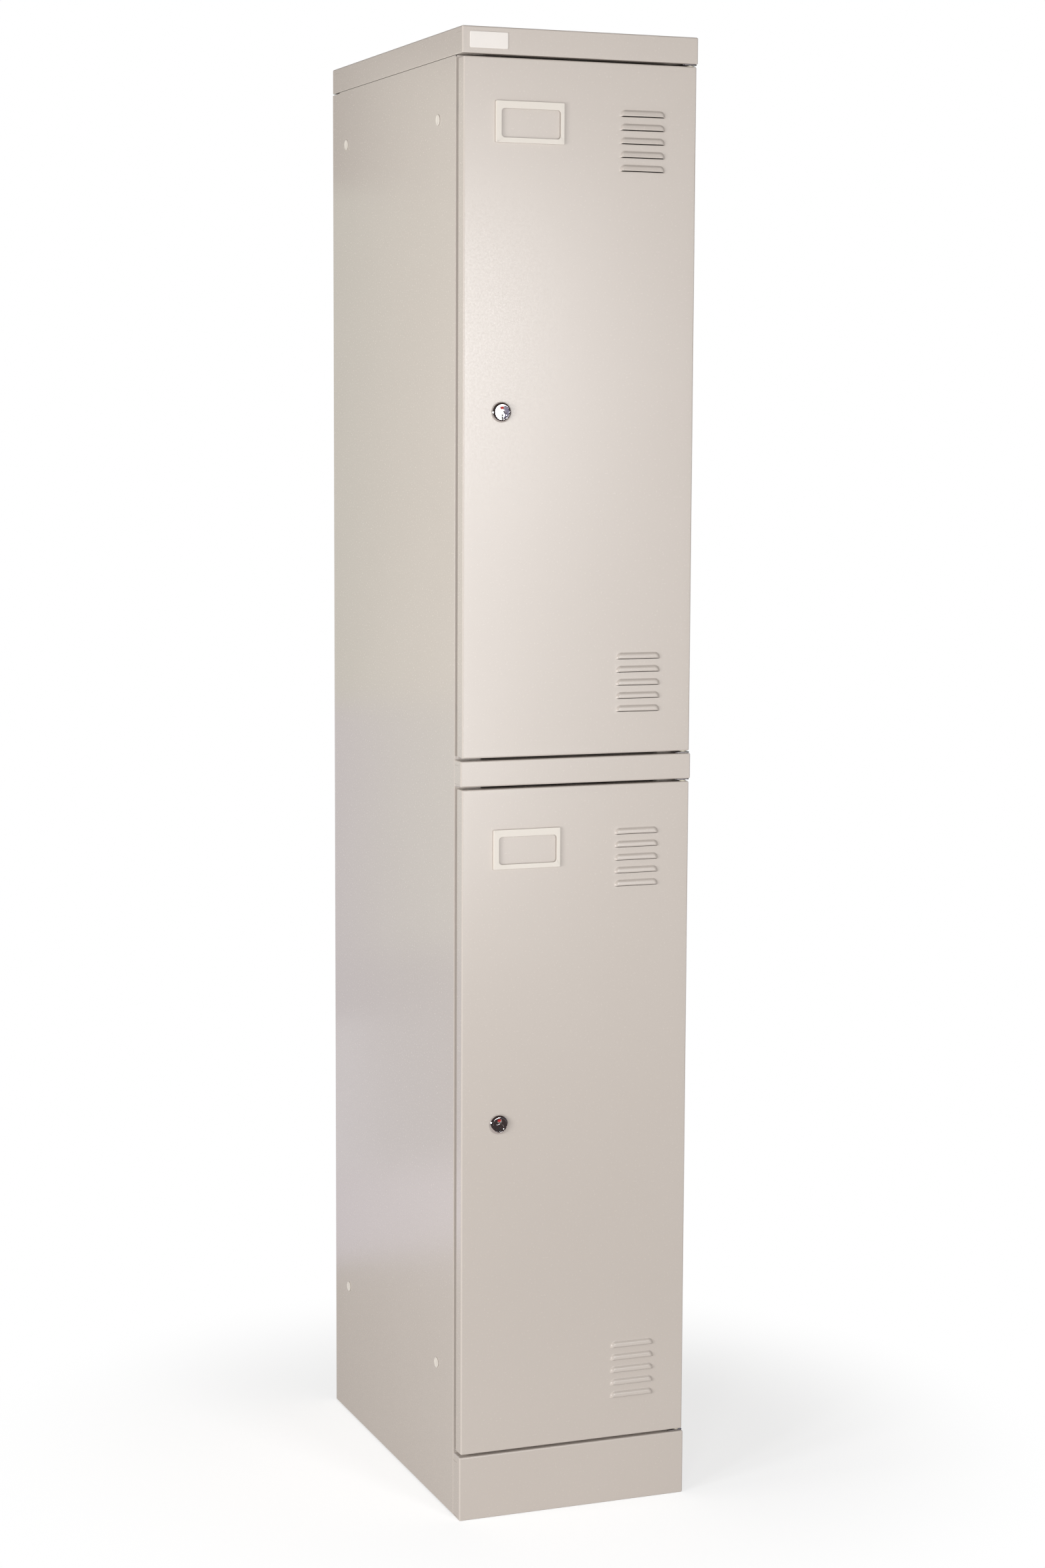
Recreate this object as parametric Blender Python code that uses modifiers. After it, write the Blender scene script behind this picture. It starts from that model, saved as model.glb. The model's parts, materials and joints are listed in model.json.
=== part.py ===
"""Two-door sheet-steel clothes locker, 300 x 500 x 1800 mm, as separate pieces.

Metres, +Z up. The doors face -Y and hang on pins at their right edge (+X). The origin is on the
floor, at the middle of the outline. Depths passed to y_at() are measured back from the front face.
"""

import math

import bmesh
import bpy
from mathutils import Euler, Matrix, Vector

# Overall size of the sheet-steel body
WIDTH = 0.300
DEPTH = 0.500
HEIGHT = 1.800

# Sheet, folds and clearances
SHEET = 0.0008
BEND = 0.0018
FIT = 0.0003
SEAM = 0.0006
OVERRUN = 0.002
WELD = 0.00001

# Cap, middle rail and plinth
CAP_HEIGHT = 0.0312
CAP_LIP = 0.014
CAP_FRONT_LIP = 0.040
RAIL_HEIGHT = 0.0313
PLINTH_HEIGHT = 0.0805

# Side panels, seen in plan: lip, front stile, web and rear flange
STILE_BACK = 0.0228
STILE_WIDTH = 0.0345
STILE_LIP = 0.012
REAR_FLANGE = 0.018
SIDE_LIFT = 0.0015
REAR_NOTCH_LENGTH = 0.030
REAR_NOTCH_DROP = 0.0012
FRONT_NOTCH = 0.0025

# Back panel and floor panel
BACK_FOOT = 0.015
FLOOR_DROP = 0.025

# Doors
DOOR_GAP = 0.0032
DOOR_SIDE_GAP = 0.0018
DOOR_REAR_GAP = 0.0043
DOOR_LIP = 0.012

# Louvres: hoods pressed out of the skin, open at their straight lower edge
LOUVRE_ROWS = 5
LOUVRE_PITCH = 0.016
LOUVRE_WIDTH = 0.0557
LOUVRE_HEIGHT = 0.0085
LOUVRE_PROUD = 0.0030
LOUVRE_FOOT = 0.0017
LOUVRE_ROUND = 0.0021
LOUVRE_INSET = 0.0420
LOUVRE_TOP_DROP = 0.0622
LOUVRE_BOTTOM_RISE = 0.0504

# Stiffener inside each door, a hat section
STIFFENER_CROWN = 0.020
STIFFENER_FOOT = 0.012
STIFFENER_HEIGHT = 0.010
STIFFENER_END_GAP = 0.060

# Hinges: plate on the frame, pin through it, flanged bush in the door
HINGE_INSET = 0.0062
HINGE_BACK = 0.0060
PIN_RADIUS = 0.0025
PIN_HEAD_STEP = 0.0017
PIN_HEAD = 0.0010
PIN_RUN = 0.0001
PLATE_THICK = 0.0012
PLATE_WIDTH = 0.0187
PLATE_MARGIN = 0.0022
PLATE_CORNER = 0.0030
BUSH_WALL = 0.0008
BUSH_COLLAR_STEP = 0.0007
BUSH_RUN = 0.0006
BUSH_BARREL = 0.0060

# Label holders
LABEL_INSET = 0.0394
LABEL_WIDTH = 0.0864
LABEL_HEIGHT = 0.0483
LABEL_DROP = 0.0495
LABEL_THICK = 0.0026
LABEL_EDGE = 0.0009
LABEL_MARGIN_LEFT = 0.0072
LABEL_MARGIN_RIGHT = 0.0048
LABEL_MARGIN_TOP = 0.0088
LABEL_MARGIN_BOTTOM = 0.0061
LABEL_WINDOW_CORNER = 0.0033
LABEL_POCKET = 0.0028
LABEL_POCKET_THICK = 0.0011
LABEL_POST_RADIUS = 0.0011
LABEL_POST_INSET = 0.0120

# Cam locks: rosette and barrel, key plug below the centre, indicator window above it
LOCK_BESIDE_STILE = 0.0155
LOCK_PROUD = 0.0043
LOCK_FACE = 0.0036
LOCK_RADIUS = 0.01225
LOCK_RING = 0.00275
LOCK_CHAMFER = 0.0004
LOCK_WALL = 0.00065
BARREL_WALL = 0.00045
CHAMBER_FRONT = 0.0026
CHAMBER_REAR = 0.0009
NUT_RIM = 0.0043
NUT_THICK = 0.0035
PLUG_DROP = 0.0036
PLUG_RADIUS = 0.0050
PLUG_RUN = 0.00015
PLUG_RECESS = 0.0002
TANG_RADIUS = 0.0035
KEYWAY_WIDTH = 0.0012
KEYWAY_HEIGHT = 0.0068
KEYWAY_DEPTH = 0.0080
CAM_BEHIND_STILE = 0.0009
CAM_BEHIND_LOCK = 0.0030
CAM_THICK = 0.0020
CAM_WALL = 0.0022
CAM_OVERLAP = 0.0145
CAM_CORNER = 0.0030
SCREW_LAND = 0.0006
SCREW_HEAD = 0.0020
SCREW_RADIUS = 0.0016
SCREW_LENGTH = 0.0080
SCREW_SLOT = 0.0010
STRIKE_CLEAR = 0.0010

# Lock indicator: a red flag turning with the plug in front of a white plate
WINDOW_RISE = 0.0050
WINDOW_WIDTH = 0.0046
WINDOW_HEIGHT = 0.0026
WINDOW_EDGE = 0.0010
WINDOW_PLATE_THICK = 0.0003
FLAG_THICK = 0.0004
FLAG_HUB = 0.0012
FLAG_FROM = math.radians(84)
FLAG_TO = math.radians(195)

# Plugs that close the joining holes of the side panels
HOLE_PLUG_RADIUS = 0.0066
HOLE_PLUG_RIM = 0.0016
HOLE_PLUG_PROUD = 0.0012
HOLE_PLUG_DISH = 0.0005
HOLE_PLUG_STEM = 0.0045
HOLE_PLUG_FRONT = 0.084
HOLE_PLUG_REAR = 0.059
HOLE_PLUG_TOP_DROP = 0.101
HOLE_PLUG_RISE = 0.177

# Door buffers and the blank plate on the cap
BUFFER_RADIUS = 0.0045
BUFFER_END = 0.060
NAME_PLATE_INSET = 0.0090
NAME_PLATE_WIDTH = 0.0478
NAME_PLATE_HEIGHT = 0.0189
NAME_PLATE_THICK = 0.0005
NAME_PLATE_CORNER = 0.0015

# Coat rails and their cups
COAT_RAIL_RADIUS = 0.0080
COAT_RAIL_WALL = 0.0010
COAT_RAIL_DROP = 0.055
CUP_WALL = 0.0022
CUP_RIM = 0.0055
CUP_FLANGE = 0.0015
CUP_DEPTH = 0.0110
CUP_FLOOR = 0.0020

# Shares of a piece's own size where its edge is rounded off
CROWN_SHARE = 0.6
RIM_SHARE = 0.8

# Facets
FOLD_STEPS = 2
CORNER_STEPS = 3
HOOD_STEPS = 2
NUT_SIDES = 6
SIDES_LOCK = 28
SIDES_PLUG = 20
SIDES_SMALL = 16
SIDES_FINE = 12
FLAG_STEPS = 8
FOLD_ANGLE = math.radians(30)
SMOOTH_ANGLE = math.radians(40)

# Places that follow from the sizes above
FRONT = -(DEPTH - LOCK_PROUD) / 2
OPENING = (HEIGHT - CAP_HEIGHT - RAIL_HEIGHT - PLINTH_HEIGHT) / 2
CAP_BOTTOM = HEIGHT - CAP_HEIGHT
SIDE_TOP = CAP_BOTTOM - SEAM
RAIL_BOTTOM = PLINTH_HEIGHT + OPENING
RAIL_TOP = RAIL_BOTTOM + RAIL_HEIGHT
INNER_X = WIDTH / 2 - SHEET
STILE_X = WIDTH / 2 - STILE_WIDTH
BACK_PANEL = DEPTH - SHEET - FIT
LEVELS = {"lower": PLINTH_HEIGHT, "upper": RAIL_TOP}
SIDES = {"left": -1, "right": 1}

DOOR_X = WIDTH / 2 - DOOR_SIDE_GAP
DOOR_HEIGHT = OPENING - 2 * DOOR_GAP
DOOR_DEPTH = STILE_BACK - DOOR_REAR_GAP
HINGE_X = DOOR_X - HINGE_INSET
LABEL_X = -DOOR_X + LABEL_INSET
LOUVRE_X = DOOR_X - LOUVRE_INSET - LOUVRE_WIDTH / 2
STIFFENER_X = (LABEL_X + LABEL_WIDTH + LOUVRE_X - LOUVRE_WIDTH / 2) / 2

LOCK_X = -STILE_X + LOCK_BESIDE_STILE
LOCK_FACE_RADIUS = LOCK_RADIUS - LOCK_RING
BARREL_RADIUS = PLUG_DROP + PLUG_RADIUS + PLUG_RUN + BARREL_WALL
CHAMBER_RADIUS = LOCK_RADIUS - LOCK_WALL
CHAMBER_MIDDLE = (CHAMBER_FRONT + CHAMBER_REAR) / 2
CAM_FRONT = STILE_BACK + SHEET + CAM_BEHIND_STILE
CAM_REAR = CAM_FRONT + CAM_THICK
CAM_REACH = LOCK_BESIDE_STILE + CAM_OVERLAP
CAM_HALF = TANG_RADIUS + FIT + CAM_WALL
LOCK_REAR = CAM_FRONT - CAM_BEHIND_LOCK


def y_at(back):
    """World Y of a place that lies so far behind the front face of the doors."""
    return FRONT + back


def clear_scene():
    for thing in list(bpy.data.objects):
        bpy.data.objects.remove(thing, do_unlink=True)
    for group in list(bpy.data.collections):
        bpy.data.collections.remove(group)


def new_collection(name):
    group = bpy.data.collections.new(name)
    bpy.context.scene.collection.children.link(group)
    return group


def material(name, colour, roughness, metallic=0.0):
    """One Principled material, made once for each name."""
    found = bpy.data.materials.get(name)
    if found:
        return found
    made = bpy.data.materials.new(name)
    made.use_nodes = True
    shader = made.node_tree.nodes["Principled BSDF"]
    shader.inputs["Base Color"].default_value = (*colour, 1.0)
    shader.inputs["Roughness"].default_value = roughness
    shader.inputs["Metallic"].default_value = metallic
    made.diffuse_color = (*colour, 1.0)
    return made


def powder_coat():
    return material("powder_coat", (0.62, 0.57, 0.51), 0.42)


def cream_plastic():
    return material("cream_plastic", (0.80, 0.75, 0.66), 0.45)


def chrome():
    return material("chrome", (0.78, 0.78, 0.80), 0.12, 1.0)


def zinc():
    return material("zinc_plate", (0.52, 0.51, 0.50), 0.38, 1.0)


def nylon():
    return material("nylon", (0.82, 0.78, 0.66), 0.5)


def white_plastic():
    return material("white_plastic", (0.86, 0.86, 0.84), 0.4)


def red_plastic():
    return material("red_plastic", (0.62, 0.03, 0.03), 0.4)


def rubber():
    return material("rubber", (0.05, 0.05, 0.05), 0.8)


def turn_to(axis):
    """Rotation that takes local +Z to the named direction."""
    quarter = math.pi / 2
    return {
        "+Z": (0, 0, 0),
        "-Z": (math.pi, 0, 0),
        "+Y": (-quarter, 0, 0),
        "-Y": (quarter, 0, 0),
        "+X": (0, quarter, 0),
        "-X": (0, -quarter, 0),
    }[axis]


def hang(thing, parent):
    """Parents a thing to a pivot and leaves it where it is in the world."""
    if parent is not None:
        thing.parent = parent
        thing.matrix_parent_inverse = parent.matrix_world.inverted()


def piece(name, data, finish, parent=None, place=(0, 0, 0), axis="+Z"):
    """A piece of the locker: an object with its own finish."""
    made = bpy.data.objects.new(name, data)
    PARTS.objects.link(made)
    data.materials.append(finish)
    hang(made, parent)
    made.location = place
    made.rotation_euler = turn_to(axis)
    return made


def cutter(name, data, parent=None, place=(0, 0, 0), axis="+Z"):
    """A shape that only Booleans use."""
    made = bpy.data.objects.new(name, data)
    CUTTERS.objects.link(made)
    hang(made, parent)
    made.location = place
    made.rotation_euler = turn_to(axis)
    made.hide_render = True
    made.display_type = "WIRE"
    return made


def pivot(name, place, parent=None):
    """An empty on a joint's axis."""
    made = bpy.data.objects.new(name, None)
    PARTS.objects.link(made)
    made.empty_display_size = STILE_WIDTH
    hang(made, parent)
    made.location = place
    bpy.context.view_layer.update()
    return made


def to_mesh(bm, name, smooth=False):
    mesh = bpy.data.meshes.new(name)
    bm.to_mesh(mesh)
    bm.free()
    if smooth:
        shade_round(mesh)
    return mesh


def shade_round(mesh):
    mesh.shade_smooth()
    mesh.set_sharp_from_angle(angle=SMOOTH_ANGLE)


def middle(low, high):
    return (Vector(low) + Vector(high)) / 2


def cuboid(low, high):
    """A bmesh box about the origin, as large as the box between two corners."""
    bm = bmesh.new()
    bmesh.ops.create_cube(bm, size=1.0)
    bmesh.ops.scale(bm, vec=Vector(high) - Vector(low), verts=bm.verts)
    return bm


def runs_along(edge, axis):
    run = edge.verts[1].co - edge.verts[0].co
    return abs(run[axis]) > run.length / 2


def on_plane(edge, axis, level):
    return all(abs(vert.co[axis] - level) < SHEET / 2 for vert in edge.verts)


def round_corners(bm, edges, radius, steps):
    bmesh.ops.bevel(bm, geom=edges, offset=radius, segments=steps, profile=0.5, affect="EDGES")


def rounded_cuboid(name, low, high, corner, axis):
    """A box whose four edges along one axis are rounded."""
    bm = cuboid(low, high)
    round_corners(bm, [edge for edge in bm.edges if runs_along(edge, axis)], corner, CORNER_STEPS)
    return to_mesh(bm, name, smooth=True)


def box_cutter(name, low, high, parent=None):
    return cutter(name, to_mesh(cuboid(low, high), name), parent, middle(low, high))


def cylinder_mesh(name, radius, length, sides):
    bm = bmesh.new()
    bmesh.ops.create_cone(
        bm, cap_ends=True, segments=sides, radius1=radius, radius2=radius, depth=length
    )
    return to_mesh(bm, name, smooth=True)


def repeated(mesh, places, axis="+Z"):
    """The same mesh at each of several places, as one mesh of separate bodies."""
    turn = Euler(turn_to(axis)).to_matrix().to_4x4()
    bm = bmesh.new()
    for place in places:
        copy = mesh.copy()
        copy.transform(Matrix.Translation(place) @ turn)
        bm.from_mesh(copy)
        bpy.data.meshes.remove(copy)
    return to_mesh(bm, mesh.name, smooth=True)


def cut(thing, tool, operation="DIFFERENCE"):
    boolean = thing.modifiers.new(tool.name, "BOOLEAN")
    boolean.operation = operation
    boolean.solver = "EXACT"
    boolean.object = tool


def drill(thing, name, places, radius, axis, sides, parent=None):
    """Round holes through one sheet, at places on its outer face."""
    unit = cylinder_mesh(name, radius, 2 * (SHEET + OVERRUN), sides)
    cut(thing, cutter(name, repeated(unit, places, axis), parent))


def round_edges(thing, radius):
    bevel = thing.modifiers.new("Rounding", "BEVEL")
    bevel.width = radius
    bevel.segments = FOLD_STEPS
    bevel.limit_method = "ANGLE"
    bevel.angle_limit = FOLD_ANGLE


def fold_sheet(thing):
    """Gives an open surface its bend radius and then its thickness, inwards."""
    round_edges(thing, BEND)
    solid = thing.modifiers.new("Sheet", "SOLIDIFY")
    solid.thickness = SHEET
    solid.offset = -1.0
    solid.use_even_offset = True


def extrude_edges(bm, edges, shift):
    made = bmesh.ops.extrude_edge_only(bm, edges=edges)
    moved = [part for part in made["geom"] if isinstance(part, bmesh.types.BMVert)]
    bmesh.ops.translate(bm, vec=shift, verts=moved)


def face_outwards(bm, face, towards):
    """Turns an open surface over if that face doesn't look the way it should."""
    bmesh.ops.recalc_face_normals(bm, faces=bm.faces)
    if face.normal.dot(Vector(towards)) < 0:
        bmesh.ops.reverse_faces(bm, faces=bm.faces)


def tray(name, low, high, open_axis, open_sign, parent=None, lips=None):
    """Five folded sides of a box, open on one side, with lips turned in round the opening.

    lips holds the width of the lip along each edge, as {(axis, sign): width}.
    """
    bm = cuboid(low, high)
    bm.normal_update()
    opened = next(face for face in bm.faces if face.normal[open_axis] * open_sign > 0.5)
    if lips:
        half = (Vector(high) - Vector(low)) / 2
        bmesh.ops.inset_individual(bm, faces=[opened], thickness=min(lips.values()))
        for corner in opened.verts:
            for (axis, sign), width in lips.items():
                if corner.co[axis] * sign > 0:
                    corner.co[axis] = sign * (half[axis] - width)
    bmesh.ops.delete(bm, geom=[opened], context="FACES_ONLY")
    made = piece(name, to_mesh(bm, name), powder_coat(), parent, middle(low, high))
    fold_sheet(made)
    return made


def folded_strip(name, profile, axis, start, end, outer, parent=None):
    """A sheet folded along a profile, running from start to end along an axis.

    The profile's points lie on the sheet's outer face, and its last leg faces the outer direction.
    """
    bm = bmesh.new()
    points = []
    for place in profile:
        place = list(place)
        place.insert(axis, start)
        points.append(bm.verts.new(place))
    edges = [bm.edges.new(pair) for pair in zip(points, points[1:])]
    shift = Vector((0, 0, 0))
    shift[axis] = end - start
    extrude_edges(bm, edges, shift)
    last = next(face for face in bm.faces if points[-1] in face.verts)
    face_outwards(bm, last, outer)
    made = piece(name, to_mesh(bm, name), powder_coat(), parent)
    fold_sheet(made)
    return made


def turned(name, profile, finish, parent, place, axis, sides):
    """A profile of (radius, height) points, outer side from top to bottom, spun into a solid."""
    bm = bmesh.new()
    points = [bm.verts.new((radius, 0, height)) for radius, height in profile]
    for pair in zip(points, points[1:]):
        bm.edges.new(pair)
    if profile[0][0] > 0:
        bm.edges.new((points[-1], points[0]))
    shape = cutter(f"{name}_profile", to_mesh(bm, f"{name}_profile"))
    spin = shape.modifiers.new("Turning", "SCREW")
    spin.axis = "Z"
    spin.angle = 2 * math.pi
    spin.steps = sides
    spin.render_steps = sides
    spin.use_merge_vertices = True
    spin.merge_threshold = WELD
    bpy.context.view_layer.update()
    graph = bpy.context.evaluated_depsgraph_get()
    mesh = bpy.data.meshes.new_from_object(shape.evaluated_get(graph))
    mesh.name = name
    shade_round(mesh)
    bpy.data.objects.remove(shape, do_unlink=True)
    return piece(name, mesh, finish, parent, place, axis)


def hinge_places():
    """Each hinge: its name, the height of the frame face it sits on, and the way to its door."""
    return {
        "lower_bottom": (PLINTH_HEIGHT, 1),
        "lower_top": (RAIL_BOTTOM, -1),
        "upper_bottom": (RAIL_TOP, 1),
        "upper_top": (CAP_BOTTOM, -1),
    }


def drill_for_pins(thing, name, heights):
    places = [(HINGE_X, y_at(HINGE_BACK), height) for height in heights]
    drill(thing, name, places, PIN_RADIUS + FIT, "+Z", SIDES_SMALL)


def make_cap():
    low = (-WIDTH / 2, y_at(0), CAP_BOTTOM)
    high = (WIDTH / 2, y_at(DEPTH), HEIGHT)
    lips = {(0, -1): CAP_LIP, (0, 1): CAP_LIP, (1, 1): CAP_LIP, (1, -1): CAP_FRONT_LIP}
    cap = tray("top_cap", low, high, 2, -1, None, lips)
    drill_for_pins(cap, "cap_pin_hole", [CAP_BOTTOM])


def make_rail():
    low = (-WIDTH / 2, y_at(0), RAIL_BOTTOM)
    high = (WIDTH / 2, y_at(STILE_BACK - FIT), RAIL_TOP)
    rail = tray("middle_rail", low, high, 1, 1)
    drill_for_pins(rail, "rail_pin_holes", [RAIL_BOTTOM, RAIL_TOP])


def make_plinth():
    low = (-WIDTH / 2, y_at(0), 0)
    high = (WIDTH / 2, y_at(STILE_BACK - FIT), PLINTH_HEIGHT)
    plinth = tray("plinth", low, high, 1, 1)
    drill_for_pins(plinth, "plinth_pin_hole", [PLINTH_HEIGHT])


def hole_plug_places(side):
    """The four plugged holes of a side panel."""
    x = SIDES[side] * WIDTH / 2
    rows = (HOLE_PLUG_RISE, HEIGHT - HOLE_PLUG_TOP_DROP)
    columns = (y_at(HOLE_PLUG_FRONT), y_at(DEPTH - HOLE_PLUG_REAR))
    return [(x, column, row) for row in rows for column in columns]


def notch_cutter(name, side, inwards, front, rear, drop):
    """A cutter for a notch in the upper edge of a side panel's web."""
    sign = SIDES[side]
    across = sorted((sign * (WIDTH / 2 - inwards), sign * (WIDTH / 2 + OVERRUN)))
    low = (across[0], y_at(front), SIDE_TOP - drop)
    high = (across[1], y_at(rear), SIDE_TOP + OVERRUN)
    return box_cutter(f"{name}_{side}", low, high)


def make_side(side):
    """Side panel: stile lip, stile, web and rear flange folded from one sheet."""
    sign = SIDES[side]
    edge = sign * WIDTH / 2
    profile = [
        (sign * STILE_X, y_at(STILE_BACK + STILE_LIP)),
        (sign * STILE_X, y_at(STILE_BACK)),
        (edge, y_at(STILE_BACK)),
        (edge, y_at(DEPTH)),
        (sign * (WIDTH / 2 - REAR_FLANGE), y_at(DEPTH)),
    ]
    panel = folded_strip(f"side_panel_{side}", profile, 2, SIDE_LIFT, SIDE_TOP, (0, 1, 0))
    stem = HOLE_PLUG_RADIUS - HOLE_PLUG_RIM
    drill(panel, f"side_holes_{side}", hole_plug_places(side), stem + FIT, "+X", SIDES_SMALL)
    fold = BEND + OVERRUN
    front, rear = DEPTH - REAR_NOTCH_LENGTH, DEPTH + OVERRUN
    cut(panel, notch_cutter("rear_notch", side, fold, front, rear, REAR_NOTCH_DROP))
    front, rear = STILE_BACK - OVERRUN, STILE_BACK + FRONT_NOTCH
    cut(panel, notch_cutter("front_notch", side, FRONT_NOTCH, front, rear, FRONT_NOTCH))
    return panel


def cut_strikes(panel):
    """Slots in the left stile's lip, which the lock cams swing through."""
    for level in LEVELS:
        height = lock_height(level) - PLUG_DROP
        foot, head = height - CAM_REACH - STRIKE_CLEAR, height + CAM_HALF + STRIKE_CLEAR
        low = (-STILE_X - SHEET - OVERRUN, y_at(STILE_BACK + SHEET), foot)
        high = (-STILE_X + OVERRUN, y_at(CAM_REAR + STRIKE_CLEAR), head)
        cut(panel, box_cutter(f"strike_{level}", low, high))


def make_back():
    """Back panel between the side panels' rear bends, with a foot folded forward on the floor."""
    rear = y_at(BACK_PANEL)
    profile = [(rear - BACK_FOOT, 0), (rear, 0), (rear, SIDE_TOP)]
    edge = WIDTH / 2 - BEND - FIT
    folded_strip("back_panel", profile, 0, -edge, edge, (0, 1, 0))


def make_shelf(name, top, drop):
    """A shelf, wide behind the stile lips and narrow between them, with its edges folded down."""
    wide, narrow = INNER_X - FIT, STILE_X - FIT
    front, neck = y_at(STILE_BACK), y_at(STILE_BACK + STILE_LIP + BEND + FIT)
    rear = y_at(BACK_PANEL - SHEET - FIT)
    right = [(narrow, front), (narrow, neck), (wide, neck), (wide, rear)]
    left = [(-x, y) for x, y in reversed(right)]
    bm = bmesh.new()
    surface = bm.faces.new([bm.verts.new((x, y, top)) for x, y in right + left])
    extrude_edges(bm, list(surface.edges), (0, 0, -drop))
    face_outwards(bm, surface, (0, 0, 1))
    shelf = piece(name, to_mesh(bm, name), powder_coat())
    fold_sheet(shelf)


def make_hole_plugs(side):
    """Dished plastic plugs that close the four joining holes of a side."""
    dish = HOLE_PLUG_PROUD - HOLE_PLUG_DISH
    stem = HOLE_PLUG_RADIUS - HOLE_PLUG_RIM
    profile = [
        (0, dish),
        (HOLE_PLUG_RADIUS * CROWN_SHARE, dish),
        (HOLE_PLUG_RADIUS * RIM_SHARE, HOLE_PLUG_PROUD),
        (HOLE_PLUG_RADIUS, FIT),
        (stem, FIT),
        (stem, -HOLE_PLUG_STEM),
        (0, -HOLE_PLUG_STEM),
    ]
    axis = "-X" if side == "left" else "+X"
    spots = ("lower_front", "lower_rear", "upper_front", "upper_rear")
    for spot, place in zip(spots, hole_plug_places(side)):
        name = f"hole_plug_{side}_{spot}"
        turned(name, profile, cream_plastic(), None, place, axis, SIDES_SMALL)


def make_buffers():
    """Rubber buffers on the left stile, which the doors close against."""
    height = DOOR_REAR_GAP - 2 * FIT
    profile = [
        (0, height),
        (BUFFER_RADIUS * CROWN_SHARE, height),
        (BUFFER_RADIUS, height * CROWN_SHARE),
        (BUFFER_RADIUS, 0),
        (0, 0),
    ]
    x = -DOOR_X + DOOR_LIP / 2
    for level, base in LEVELS.items():
        for end, z in (("bottom", base + BUFFER_END), ("top", base + OPENING - BUFFER_END)):
            place = (x, y_at(STILE_BACK - FIT), z)
            turned(f"{level}_{end}_buffer", profile, rubber(), None, place, "-Y", SIDES_FINE)


def make_name_plate():
    """A blank plate on the cap's front."""
    left = -WIDTH / 2 + NAME_PLATE_INSET
    centre = CAP_BOTTOM + CAP_HEIGHT / 2
    low = (left, y_at(-FIT - NAME_PLATE_THICK), centre - NAME_PLATE_HEIGHT / 2)
    high = (left + NAME_PLATE_WIDTH, y_at(-FIT), centre + NAME_PLATE_HEIGHT / 2)
    mesh = rounded_cuboid("blank_plate", low, high, NAME_PLATE_CORNER, 1)
    piece(mesh.name, mesh, white_plastic(), None, middle(low, high))


def make_coat_rail(level):
    """A steel tube across the compartment, with its ends in two cups on the side panels."""
    place = Vector((0, y_at(DEPTH / 2), LEVELS[level] + OPENING - COAT_RAIL_DROP))
    end = INNER_X - FIT - CUP_FLOOR - FIT
    bore = COAT_RAIL_RADIUS - COAT_RAIL_WALL
    tube = [(COAT_RAIL_RADIUS, end), (COAT_RAIL_RADIUS, -end), (bore, -end), (bore, end)]
    turned(f"{level}_coat_rail", tube, chrome(), None, place, "+X", SIDES_PLUG)
    socket = COAT_RAIL_RADIUS + FIT
    outside = socket + CUP_WALL
    cup = [
        (0, CUP_FLOOR),
        (socket, CUP_FLOOR),
        (socket, CUP_DEPTH),
        (outside, CUP_DEPTH),
        (outside, CUP_FLANGE),
        (outside + CUP_RIM, CUP_FLANGE),
        (outside + CUP_RIM, 0),
        (0, 0),
    ]
    for side, axis in (("left", "+X"), ("right", "-X")):
        foot = place + Vector((SIDES[side] * (INNER_X - FIT), 0, 0))
        turned(f"{level}_rail_cup_{side}", cup, zinc(), None, foot, axis, SIDES_PLUG)


def make_hinge(name, door_pivot, height, way):
    """Hinge plate and pin on the frame, flanged bush in the door. way is +1 for a door above."""
    near, far = sorted((height + way * FIT, height + way * (FIT + PLATE_THICK)))
    low = (WIDTH / 2 - PLATE_WIDTH, y_at(PLATE_MARGIN), near)
    high = (WIDTH / 2, y_at(STILE_BACK - PLATE_MARGIN), far)
    mesh = rounded_cuboid(f"{name}_hinge_plate", low, high, PLATE_CORNER, 2)
    plate = piece(mesh.name, mesh, zinc(), None, middle(low, high))
    place = (HINGE_X, y_at(HINGE_BACK), height)
    drill(plate, f"{name}_plate_hole", [place], PIN_RADIUS + FIT, "+Z", SIDES_SMALL)
    axis = "+Z" if way > 0 else "-Z"
    tip = DOOR_GAP + SHEET + BUSH_BARREL
    head = -SHEET - FIT
    pin = [
        (0, tip),
        (PIN_RADIUS * RIM_SHARE, tip),
        (PIN_RADIUS, tip - PIN_RADIUS * (1 - RIM_SHARE)),
        (PIN_RADIUS, head),
        (PIN_RADIUS + PIN_HEAD_STEP, head),
        (PIN_RADIUS + PIN_HEAD_STEP, head - PIN_HEAD),
        (0, head - PIN_HEAD),
    ]
    turned(f"{name}_hinge_pin", pin, zinc(), None, place, axis, SIDES_SMALL)
    bore = PIN_RADIUS + PIN_RUN
    barrel = bore + BUSH_WALL
    collar = barrel + BUSH_COLLAR_STEP
    seat = DOOR_GAP - FIT
    bush = [
        (bore, tip),
        (barrel, tip),
        (barrel, seat),
        (collar, seat),
        (collar, FIT + PLATE_THICK + BUSH_RUN),
        (bore, FIT + PLATE_THICK + BUSH_RUN),
    ]
    turned(f"{name}_bush", bush, nylon(), door_pivot, place, axis, SIDES_SMALL)


def hood_mesh(name, inset, front, rear):
    """One louvre's outside, or its hollow when inset by the sheet: round top corners and front."""
    half = LOUVRE_WIDTH / 2 - inset
    height = LOUVRE_HEIGHT - inset
    bm = cuboid((-half, -front, 0), (half, rear, height))
    upper = [edge for edge in bm.edges if runs_along(edge, 1) and edge.verts[0].co.z > 0]
    round_corners(bm, upper, height - LOUVRE_FOOT, CORNER_STEPS)
    face = min(vert.co.y for vert in bm.verts)
    foot = min(vert.co.z for vert in bm.verts)
    rim = [edge for edge in bm.edges if on_plane(edge, 1, face) and not on_plane(edge, 2, foot)]
    round_corners(bm, rim, LOUVRE_ROUND - inset, HOOD_STEPS)
    bmesh.ops.translate(bm, vec=(0, (rear - front) / 2, height / 2), verts=bm.verts)
    return to_mesh(bm, name)


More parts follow.
